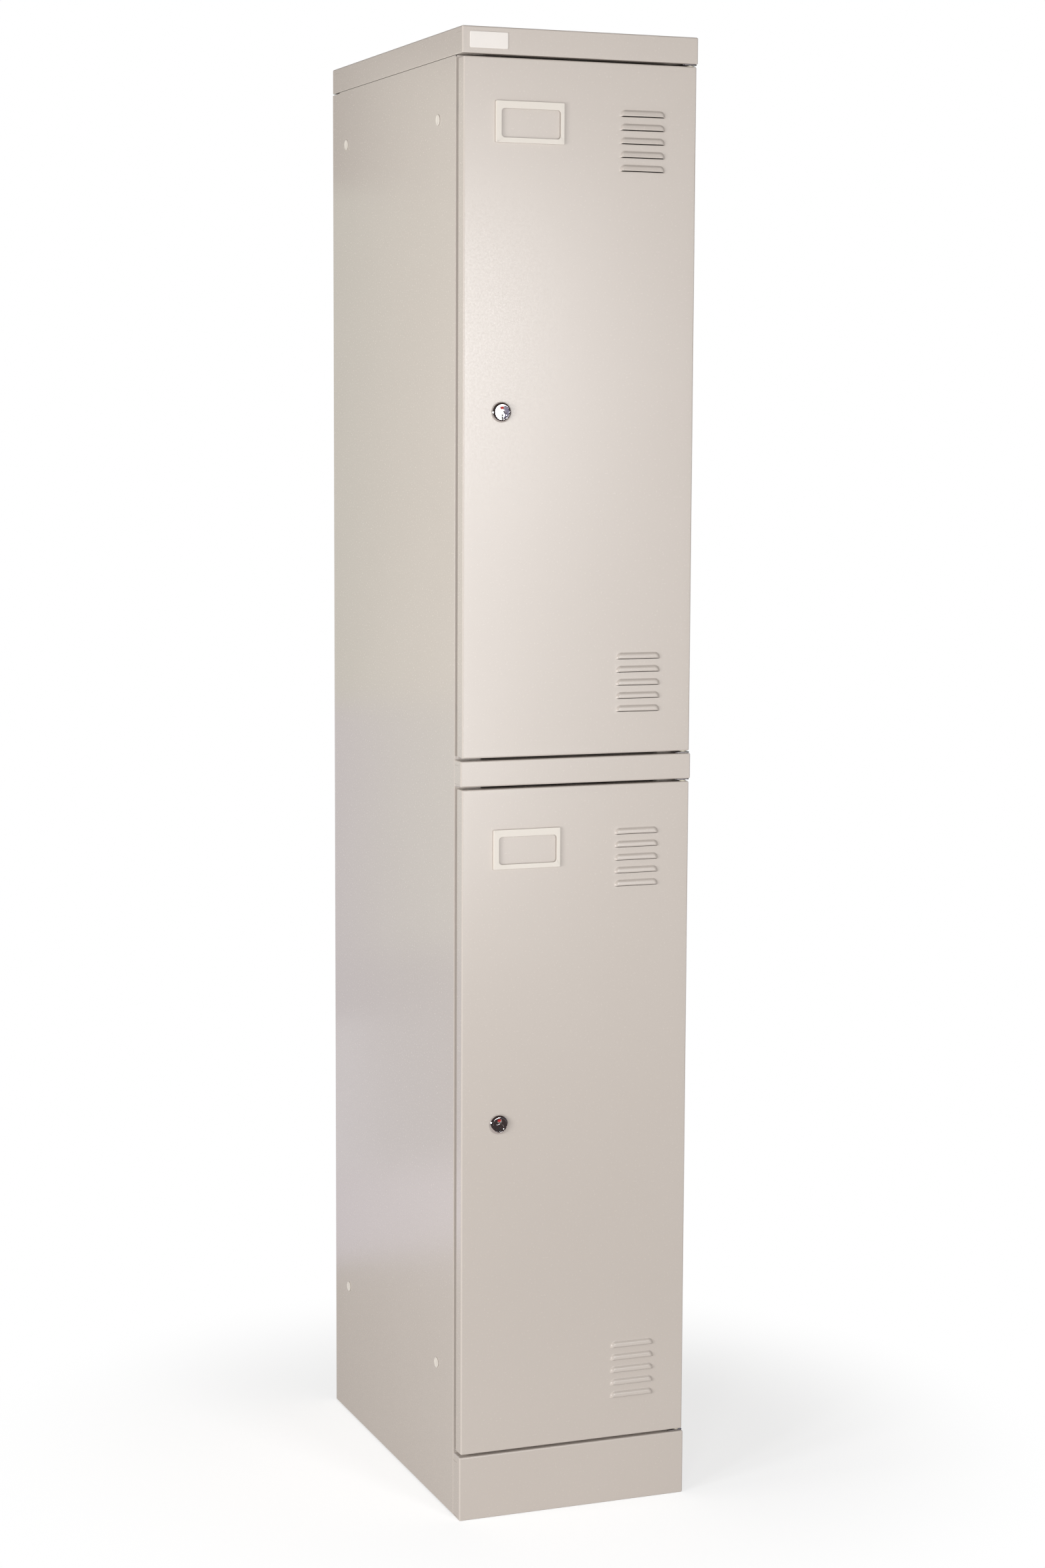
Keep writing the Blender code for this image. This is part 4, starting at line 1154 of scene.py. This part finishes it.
def makeLockBody(level):
    node = f"{level}_lock_body"
    centre, axis = lockCentre(level), lockAxis(level)
    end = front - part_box(node)[1].y
    wide, rim, seat, edge = lock["radius"], lock["rim"], lock["seat"], lock["edge"]
    faceWide, faceHigh, crown = lock["faceRadius"], lock["face"], lock["crown"]
    barrel, barrelEdge = lock["barrel"], lock["barrelEdge"]
    rings = [(barrel - barrelEdge, end), (barrel, end + barrelEdge), (barrel, seat)]
    rings += [(wide - rim, seat), (wide, seat + rim)]
    rings += ringShape()
    rings.append((faceWide + lock["faceFoot"], faceHigh))
    for share in lock["faceShares"]:
        rings.append((faceWide * share, faceHigh + crown * (1 - share * share)))
    body = turnedPiece(f"{level}LockBody", rings, centre, "-Y", 96)
    rearSide, frontSide = lock["chamber"]
    radius = lock["chamberRadius"]
    cutTurned(body, [(radius, rearSide), (radius, frontSide)], centre, "-Y", 96)
    radius = lock["bore"]
    drop, rise = lock["boreEdge"]
    bore = [(radius, end - clear), (radius, faceHigh - drop)]
    bore += [(radius + edge, faceHigh + rise), (radius + edge, lock["reach"])]
    cutTurned(body, bore, axis, "-Y", 72)
    window = centre + Vector((0, 0, lock["windowRise"]))
    across, tall = lock["window"]
    low = window - Vector((across / 2, lock["reach"] + 2 * clear, tall / 2))
    high = window + Vector((across / 2, -(rearSide + lock["windowStop"]), tall / 2))
    cutWith(body, roundBlock("window", low, high, 1, lock["windowCorner"]))
    standIn(body, node)
    across, tall, thick = lock["plate"]
    back = front - rearSide - edge
    low = (window.x - across / 2, back - thick, window.z - tall / 2)
    high = (window.x + across / 2, back, window.z + tall / 2)
    plate = roundBlock(f"{level}WindowPlate", low, high, 1, lock["plateCorner"])
    standIn(plate, f"{level}_window_plate", degrees=0)


def makeLockPlug(level):
    node = f"{level}_lock_plug"
    axis = lockAxis(level)
    edge, tang = lock["edge"], lock["tang"]
    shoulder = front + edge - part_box(f"{level}_cam")[0].y
    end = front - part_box(node)[1].y
    wide, face = lock["plugRadius"], lock["plugFace"]
    rings = [(tang - edge, end), (tang, end + edge), (tang, shoulder), (wide, shoulder)]
    rings += [(wide - edge * x, face - edge * z) for x, z in lock["plugEdgeShares"]]
    share, bulge = lock["plugBulge"]
    rings.append((wide * share, face + bulge))
    plug = turnedPiece(f"{level}LockPlug", rings, axis, "-Y", 72)
    across, above, below = lock["keySlit"]
    depth = lock["keyDepth"]
    slitLow = axis - Vector((across / 2, lock["reach"], below))
    carve(plug, slitLow, axis + Vector((across / 2, depth, above)))
    flare, drop, rise = lock["keyEdge"]
    for radius, height in lock["keyHoles"]:
        hole = [(radius, -depth), (radius, face - drop)]
        hole += [(radius + flare, face + rise), (radius + flare, lock["reach"])]
        cutTurned(plug, hole, axis + Vector((0, 0, height)), "-Y", 32)
    standIn(plug, node)


def makeKeywayShadePins(level):
    # pins that fill the keyway a little behind the plug's face; their black rubber finish is
    # painted shade of the deep keyway
    axis = lockAxis(level)
    across, above, below = lock["keySlit"]
    play, depth = lock["pinPlay"], lock["keyDepth"] - lock["edge"]
    face = lock["plugFace"] - lock["pinDrop"]
    low = axis + Vector((play - across / 2, -face, play - below))
    high = axis + Vector((across / 2 - play, depth, above - play))
    pins = addBox(f"{level}KeywayShadePins", low, high)
    for radius, height in lock["keyHoles"]:
        rings = [(radius - play, -depth), (radius - play, face)]
        cutTurned(pins, rings, axis + Vector((0, 0, height)), "-Y", 32, "UNION")
    smooth(pins, 35)
    # the rubber finish paints the keyway's shade onto these pins
    place(pins, f"{level}_lock", finishes["rubber"])


def makeFlag(level):
    # a disc round the plug with a stem that holds the red patch behind the window
    node = f"{level}_indicator_flag"
    centre, axis = lockCentre(level), lockAxis(level)
    low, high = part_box(node)
    middle = (low.y + high.y) / 2
    hub = (axis.x, middle, axis.z)
    disc, stem, patch = (flag["thick"] * layer for layer in flag["layerShares"])
    x, z = centre.x, centre.z + (lock["windowRise"] + flag["patchRise"])
    rings = [(flag["disc"], -disc), (flag["disc"], disc)]
    thing = turnedPiece(f"{level}IndicatorFlag", rings, hub, "-Y", 64)
    half, start = flag["stem"]
    low, high = (x - half, middle - stem, axis.z + start), (x + half, middle + stem, z)
    cutWith(thing, addBox("stem", low, high), "UNION")
    wide, tall = (size / 2 for size in flag["patch"])
    low, high = (x - wide, middle - patch, z - tall), (x + wide, middle + patch, z + tall)
    cutWith(thing, roundBlock("patch", low, high, 1, flag["patchCorner"]), "UNION")
    drill(thing, hub, lock["plugRadius"] + lock["edge"], "-Y", through / 4, 64)
    standIn(thing, node)


def makeCam(level):
    node = f"{level}_cam"
    axis = lockAxis(level)
    camLow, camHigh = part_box(node)
    edge, hole = lock["edge"], lock["tang"] + lock["edge"]
    thing = roundBlock(f"{level}Cam", camLow, camHigh, 1, cam["corner"], edge, 8)
    cutTurned(thing, [(hole, -2 * through), (hole, 0.0)], axis, "-Y", 48)
    standIn(thing, node)
    node = f"{level}_cam_screw"
    low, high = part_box(node)
    seat, tip, end = camHigh.y + edge - front, low.y - front, high.y - front
    head, headEdge = (high.x - low.x) / 2, cam["headEdge"]
    shaft, shaftEdge = cam["screwShaft"], cam["screwEdge"]
    rings = [(shaft - shaftEdge, -tip), (shaft, -tip - shaftEdge), (shaft, -seat)]
    rings += [(head - headEdge, -seat), (head, -seat - headEdge)]
    rings += [(head * share, -seat - (end - seat) * rise) for share, rise in cam["headShares"]]
    screw = turnedPiece(f"{level}CamScrew", rings, axis, "-Y", 48)
    half, deep = cam["slot"]
    reach, rearEnd = head + clear, front + end
    slotLow = (axis.x - reach, rearEnd - deep, axis.z - half)
    carve(screw, slotLow, (axis.x + reach, rearEnd + clear, axis.z + half))
    standIn(screw, node)


def makeNut(level):
    node = f"{level}_lock_nut"
    low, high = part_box(node)
    centre = lockCentre(level)
    wide = max(high.z - low.z, high.x - low.x) / 2
    foot, head = front - high.y, front - low.y
    hexagon = turnedPiece(f"{level}LockNut", [(wide, foot), (wide, head)], centre, "-Y", 6)
    # the corners of a nut are turned down at both faces
    inside, outside, tall = cam["nutTurned"]
    inside, outside = wide * inside, wide * outside
    turned = [(inside, foot), (outside, foot + tall), (outside, head - tall), (inside, head)]
    cutTurned(hexagon, turned, centre, "-Y", 72, "INTERSECT")
    bore = lock["barrel"] + lock["edge"]
    cutTurned(hexagon, [(bore, -through), (bore, through / 2)], centre, "-Y", 72)
    standIn(hexagon, node, 25)


for level in levels:
    for makePart in (makeLockBody, makeLockPlug, makeKeywayShadePins, makeFlag, makeCam, makeNut):
        makePart(level)
print("locks turned")

# hinges
hinge = {
    "pin": 0.0025,
    # the pin's head and tip: share of the radius, and height from the end
    "head": ((0.72, 0), (0.93, 0.00015), (1, 0.00045), (1, 0.0010)),
    "tip": ((1, 0.0007), (0.93, 0.0003), (0.78, 0)),
    "plateCorner": 0.0030,
    "plateEdge": 0.00018,
    "collar": 0.0007,
    "collarHeight": 0.0008,
    "collarFoot": 0.0002,
    "collarEdge": 0.00015,
    "edge": 0.0003,
    "play": 0.0001,
}


def makeHinge(level, end):
    name = f"{level}_{end}"
    piece = f"{level}{end.capitalize()}"
    pinLow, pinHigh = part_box(f"{name}_hinge_pin")
    centre = (pinLow + pinHigh) / 2
    axis = (centre.x, centre.y, 0)
    facing = "+Z" if end == "bottom" else "-Z"
    heights = lambda low, high: (low.z, high.z) if end == "bottom" else (-high.z, -low.z)
    foot, tip = heights(pinLow, pinHigh)
    wide, headWide = hinge["pin"], (pinHigh.x - pinLow.x) / 2
    rings = [(headWide * share, foot + rise) for share, rise in hinge["head"]]
    rings.append((wide, rings[-1][1]))
    rings += [(wide * share, tip - drop) for share, drop in hinge["tip"]]
    standIn(turnedPiece(f"{piece}HingePin", rings, axis, facing, 48), f"{name}_hinge_pin")
    low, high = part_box(f"{name}_hinge_plate")
    corner, edge = hinge["plateCorner"], hinge["plateEdge"]
    plate = roundBlock(f"{piece}HingePlate", low, high, 2, corner, edge, 8)
    middle = (centre.x, centre.y, (low.z + high.z) / 2)
    drill(plate, middle, wide + hinge["edge"], "+Z")
    standIn(plate, f"{name}_hinge_plate")
    low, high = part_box(f"{name}_bush")
    foot, tip = heights(low, high)
    collar, top = (high.x - low.x) / 2, foot + hinge["collarHeight"]
    barrel, small, edge = collar - hinge["collar"], hinge["collarFoot"], hinge["collarEdge"]
    rings = [
        (collar - small, foot),
        (collar, foot + small),
        (collar, top - edge),
        (collar - edge, top),
        (barrel, top),
        (barrel, tip - hinge["edge"]),
        (barrel - hinge["edge"], tip),
    ]
    bush = turnedPiece(f"{piece}Bush", rings, axis, facing, 48)
    middle = (centre.x, centre.y, (low.z + high.z) / 2)
    drill(bush, middle, wide + hinge["play"], "+Z", through)
    standIn(bush, f"{name}_bush")


for level in levels:
    for end in ("bottom", "top"):
        makeHinge(level, end)
print("hinges turned")

# coat rails
coatRail = {
    "radius": 0.008,
    "wall": 0.001,
    "edge": 0.0002,
    "cupWall": 0.0022,
    "cupFloor": 0.0020,
    "cupPlay": 0.0003,
    "cupEdge": 0.0005,
    "flange": 0.0015,
    "bend": (0.0006, 0.0002),  # how wide the flange's bends are, and where their middle lies
    "mouth": (0.0009, 0.0004),  # how much wider the socket's mouth is, and its depth
}


def makeCoatRail(level):
    node = f"{level}_coat_rail"
    low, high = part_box(node)
    centre = (low + high) / 2
    half, wide, edge = (high.x - low.x) / 2, coatRail["radius"], coatRail["edge"]
    rings = [(wide - edge, -half), (wide, edge - half), (wide, half - edge), (wide - edge, half)]
    tube = turnedPiece(f"{level}CoatRail", rings, centre, "+X", 72)
    drill(tube, centre, wide - coatRail["wall"], "+X", half + through / 2, 72)
    standIn(tube, node)
    flange, end = coatRail["flange"], coatRail["cupEdge"]
    bend, middle = coatRail["bend"]
    mouth, mouthDeep = coatRail["mouth"]
    socketWide = wide + coatRail["cupPlay"]
    outside = socketWide + coatRail["cupWall"]
    for side, way in sides.items():
        node = f"{level}_rail_cup_{side}"
        low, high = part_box(node)
        foot = (low.x if way < 0 else high.x, centre.y, centre.z)
        facing = "+X" if way < 0 else "-X"
        deep, rim = high.x - low.x, (high.z - low.z) / 2
        rings = [
            (rim, 0),
            (rim, flange - bend),
            (rim - middle, flange - middle),
            (rim - bend, flange),
            (outside + bend, flange),
            (outside + middle, flange + middle),
            (outside, flange + bend),
            (outside, deep - end),
            (outside - end, deep),
        ]
        cup = turnedPiece(f"{level}RailCup{side.capitalize()}", rings, foot, facing, 64)
        socket = [(socketWide, coatRail["cupFloor"]), (socketWide, deep - mouthDeep)]
        cutTurned(cup, socket + [(wide + mouth, deep + clear)], foot, facing, 64)
        standIn(cup, node)


for level in levels:
    makeCoatRail(level)
print("coat rails and cups turned")

# camera
cameraLook = {
    "place": (-1.3731, -3.62975, 1.3445),
    "yaw": 21.058,  # degrees to the right of straight back
    "pitch": 6.828,  # degrees down
    "roll": 0.263,
    "focalPixels": 4549.6,
    "picture": (1568, 2352),
    "sensor": 36.0,
    "farthest": 100,
}


def makeCamera(look):
    yaw, pitch, roll = (math.radians(look[key]) for key in ("yaw", "pitch", "roll"))
    level = math.cos(pitch)
    ahead = Vector((math.sin(yaw) * level, math.cos(yaw) * level, -math.sin(pitch)))
    right = Vector((math.cos(yaw), -math.sin(yaw), 0))
    up = right.cross(ahead)
    tiltedRight = right * math.cos(roll) + up * math.sin(roll)
    tiltedUp = up * math.cos(roll) - right * math.sin(roll)
    lens = bpy.data.cameras.new("camera")
    lens.sensor_fit = "VERTICAL"
    lens.sensor_height = look["sensor"]
    lens.lens = look["focalPixels"] / look["picture"][1] * look["sensor"]
    lens.clip_end = look["farthest"]
    camera = bpy.data.objects.new("camera", lens)
    bpy.context.collection.objects.link(camera)
    facing = Matrix((tiltedRight, tiltedUp, -ahead)).transposed().to_4x4()
    camera.matrix_world = Matrix.Translation(look["place"]) @ facing
    bpy.context.scene.camera = camera


makeCamera(cameraLook)
print("camera placed")

# floor, world and lamps
studio = {
    "floorSize": 60.0,
    "floorColour": (0.60, 0.60, 0.60),
    "floorLift": 0.62,  # what the floor adds to its own shade where the camera sees it
    "shadowReach": (0.32, 0.75),  # from here to here the shadow fades into plain white
    "ambient": 0.27,
    "background": 1.0,
}
lampAim = (0, -0.1, 1.0)
# place, size, watts, and whether reflections show it
lamps = {
    "keyTop": ((1.02, -4.2, 1.6), (0.86, 0.6), 28, True),
    "keyMiddle": ((1.2, -4.2, 1.1), (0.5, 0.4), 8, True),
    "keyFoot": ((0.85, -4.2, 0.5), (0.9, 0.6), 23, True),
    "fillTop": ((-2.4, -4.2, 1.6), (0.6, 0.6), 11, False),
    "fillFoot": ((-2.4, -4.2, 0.5), (0.6, 0.6), 24, False),
    "leftBox": ((-4.0, -1.8, 1.2), (0.8, 0.8), 40, True),
    "leftFront": ((-4.0, -3.0, 1.2), (0.6, 0.6), 48, False),
    "leftFoot": ((-4.0, -1.8, 0.4), (0.6, 0.6), 24, False),
    "leftRear": ((-4.0, 0.0, 1.2), (0.6, 0.6), 26, False),
}
# cards that only reflections see, each between two corners and with its own glow: a lit
# backdrop behind, the dark of the room elsewhere, and the floor near the locker
wall, wallSplit = 0.90, -0.43
cards = {
    "backdropSkirt": ((-4, wall, 0), (3, wall, 0.15), (0.68, 0.66, 0.86)),
    "backdropLeftFoot": ((-4, wall, 0.15), (wallSplit, wall, 0.5), (0.12, 0.17, 0.29)),
    "backdropLeftMiddle": ((-4, wall, 0.5), (wallSplit, wall, 0.9), (0.46, 0.54, 0.50)),
    "backdropLeftTop": ((-4, wall, 0.9), (wallSplit, wall, 1.9), (0.75, 0.73, 0.62)),
    "backdropFoot": ((wallSplit, wall, 0.15), (3, wall, 0.4), (0.78, 0.80, 0.98)),
    "backdropMiddle": ((wallSplit, wall, 0.4), (3, wall, 0.9), (0.42, 0.43, 0.62)),
    "backdropTop": ((wallSplit, wall, 0.9), (3, wall, 1.7), (0.43, 0.50, 0.42)),
    "darkBehind": ((-6, wall + 0.01, 1.7), (6, wall + 0.01, 5), (0, 0, 0)),
    "darkFront": ((-6, -6, 0), (6, -6, 5), (0.06, 0.05, 0.05)),
    "darkLeft": ((-6, -6, 0), (-6, 6, 5), (0.06, 0.045, 0.045)),
    "darkRight": ((6, -6, 0), (6, 6, 5), (0.06, 0.05, 0.06)),
    "darkAbove": ((-6, -6, 5), (6, 6, 5), (0.05, 0.035, 0.03)),
    "greyRight": ((1.5, -5.9, 0.9), (3.2, -5.9, 1.9), (0.28, 0.26, 0.35)),
    "floorFront": ((-6, -6, 0.002), (6, -0.80, 0.002), (0.06, 0.045, 0.045)),
    "floorNear": ((-6, -0.80, 0.002), (6, -0.25, 0.002), (0.56, 0.48, 0.44)),
    "floorBehind": ((-6, -0.25, 0.002), (6, wall, 0.002), (0.26, 0.24, 0.22)),
}


def raysThatLook(tree):
    # 1 for rays that look at the background: from the camera, off metal or through glass
    rays = addNode(tree, "ShaderNodeLightPath").outputs
    firstTwo = {0: rays["Is Camera Ray"], 1: rays["Is Glossy Ray"]}
    either = addNode(tree, "ShaderNodeMath", firstTwo, operation="MAXIMUM").outputs[0]
    allThree = {0: either, 1: rays["Is Transmission Ray"]}
    return addNode(tree, "ShaderNodeMath", allThree, operation="MAXIMUM").outputs[0]


def stagePaint(thing, makeSurface):
    # a material of its own for a piece of the stage; what glows in it is not sampled as a lamp
    paint = bpy.data.materials.new(thing.name)
    paint.use_nodes = True
    tree = paint.node_tree
    tree.nodes.remove(tree.nodes["Principled BSDF"])
    feed(tree, tree.nodes["Material Output"], {"Surface": makeSurface(tree).outputs[0]})
    paint.cycles.emission_sampling = "NONE"
    thing.data.materials.append(paint)


def makeFloor(look):
    deselect()
    bpy.ops.mesh.primitive_plane_add(size=look["floorSize"], location=(0, 0, 0))
    floor = bpy.context.object
    floor.name = "studioFloor"

    def surface(tree):
        # a pale shadow under the piece that fades into plain white further out
        looking = raysThatLook(tree)
        lifted = {0: looking, 1: look["floorLift"]}
        lift = addNode(tree, "ShaderNodeMath", lifted, operation="MULTIPLY").outputs[0]
        matt = addNode(tree, "ShaderNodeBsdfDiffuse", {"Color": (*look["floorColour"], 1)})
        glow = addNode(tree, "ShaderNodeEmission", {"Strength": lift})
        added = {0: matt.outputs[0], 1: glow.outputs[0]}
        nearBy = addNode(tree, "ShaderNodeAddShader", added).outputs[0]
        white = addNode(tree, "ShaderNodeEmission", {"Strength": look["background"]}).outputs[0]
        spot = addNode(tree, "ShaderNodeTexCoord").outputs["Object"]
        reach = addNode(tree, "ShaderNodeVectorMath", {0: spot}, operation="LENGTH")
        start, end = look["shadowReach"]
        faded = {"Value": reach.outputs["Value"], "From Min": start, "From Max": end}
        fade = addNode(tree, "ShaderNodeMapRange", faded, interpolation_type="SMOOTHSTEP")
        shared = {0: fade.outputs["Result"], 1: looking}
        share = addNode(tree, "ShaderNodeMath", shared, operation="MULTIPLY").outputs[0]
        return addNode(tree, "ShaderNodeMixShader", {0: share, 1: nearBy, 2: white})

    stagePaint(floor, surface)


def makeWorld(look):
    world = bpy.data.worlds.new("studioWorld")
    bpy.context.scene.world = world
    world.use_nodes = True
    tree = world.node_tree
    white = (1, 1, 1, 1)
    ambient = tree.nodes["Background"]
    feed(tree, ambient, {"Color": white, "Strength": look["ambient"]})
    lit = addNode(tree, "ShaderNodeBackground", {"Color": white, "Strength": look["background"]})
    chosen = {0: raysThatLook(tree), 1: ambient.outputs[0], 2: lit.outputs[0]}
    sky = addNode(tree, "ShaderNodeMixShader", chosen).outputs[0]
    feed(tree, tree.nodes["World Output"], {"Surface": sky})


def makeCard(name, low, high, glow):
    card = addPlane(name, low, high)
    stagePaint(card, lambda tree: addNode(tree, "ShaderNodeEmission", {"Color": (*glow, 1)}))
    card.visible_camera = False
    card.visible_diffuse = False
    card.visible_transmission = False
    card.visible_shadow = False


def makeLamp(name, spot, size, watts, mirrored):
    light = bpy.data.lights.new(name, "AREA")
    light.shape = "RECTANGLE"
    light.size, light.size_y = size
    light.energy = watts
    lamp = bpy.data.objects.new(name, light)
    bpy.context.collection.objects.link(lamp)
    lamp.location = spot
    lamp.visible_glossy = mirrored
    aim = Vector(lampAim) - Vector(spot)
    lamp.rotation_euler = aim.to_track_quat("-Z", "Y").to_euler()


makeFloor(studio)
makeWorld(studio)
for cardName, card in cards.items():
    makeCard(cardName, *card)
for lampName, lamp in lamps.items():
    makeLamp(lampName, *lamp)
bpy.context.scene.view_settings.view_transform = "Standard"
print("studio lit by", len(lamps), "lamps")
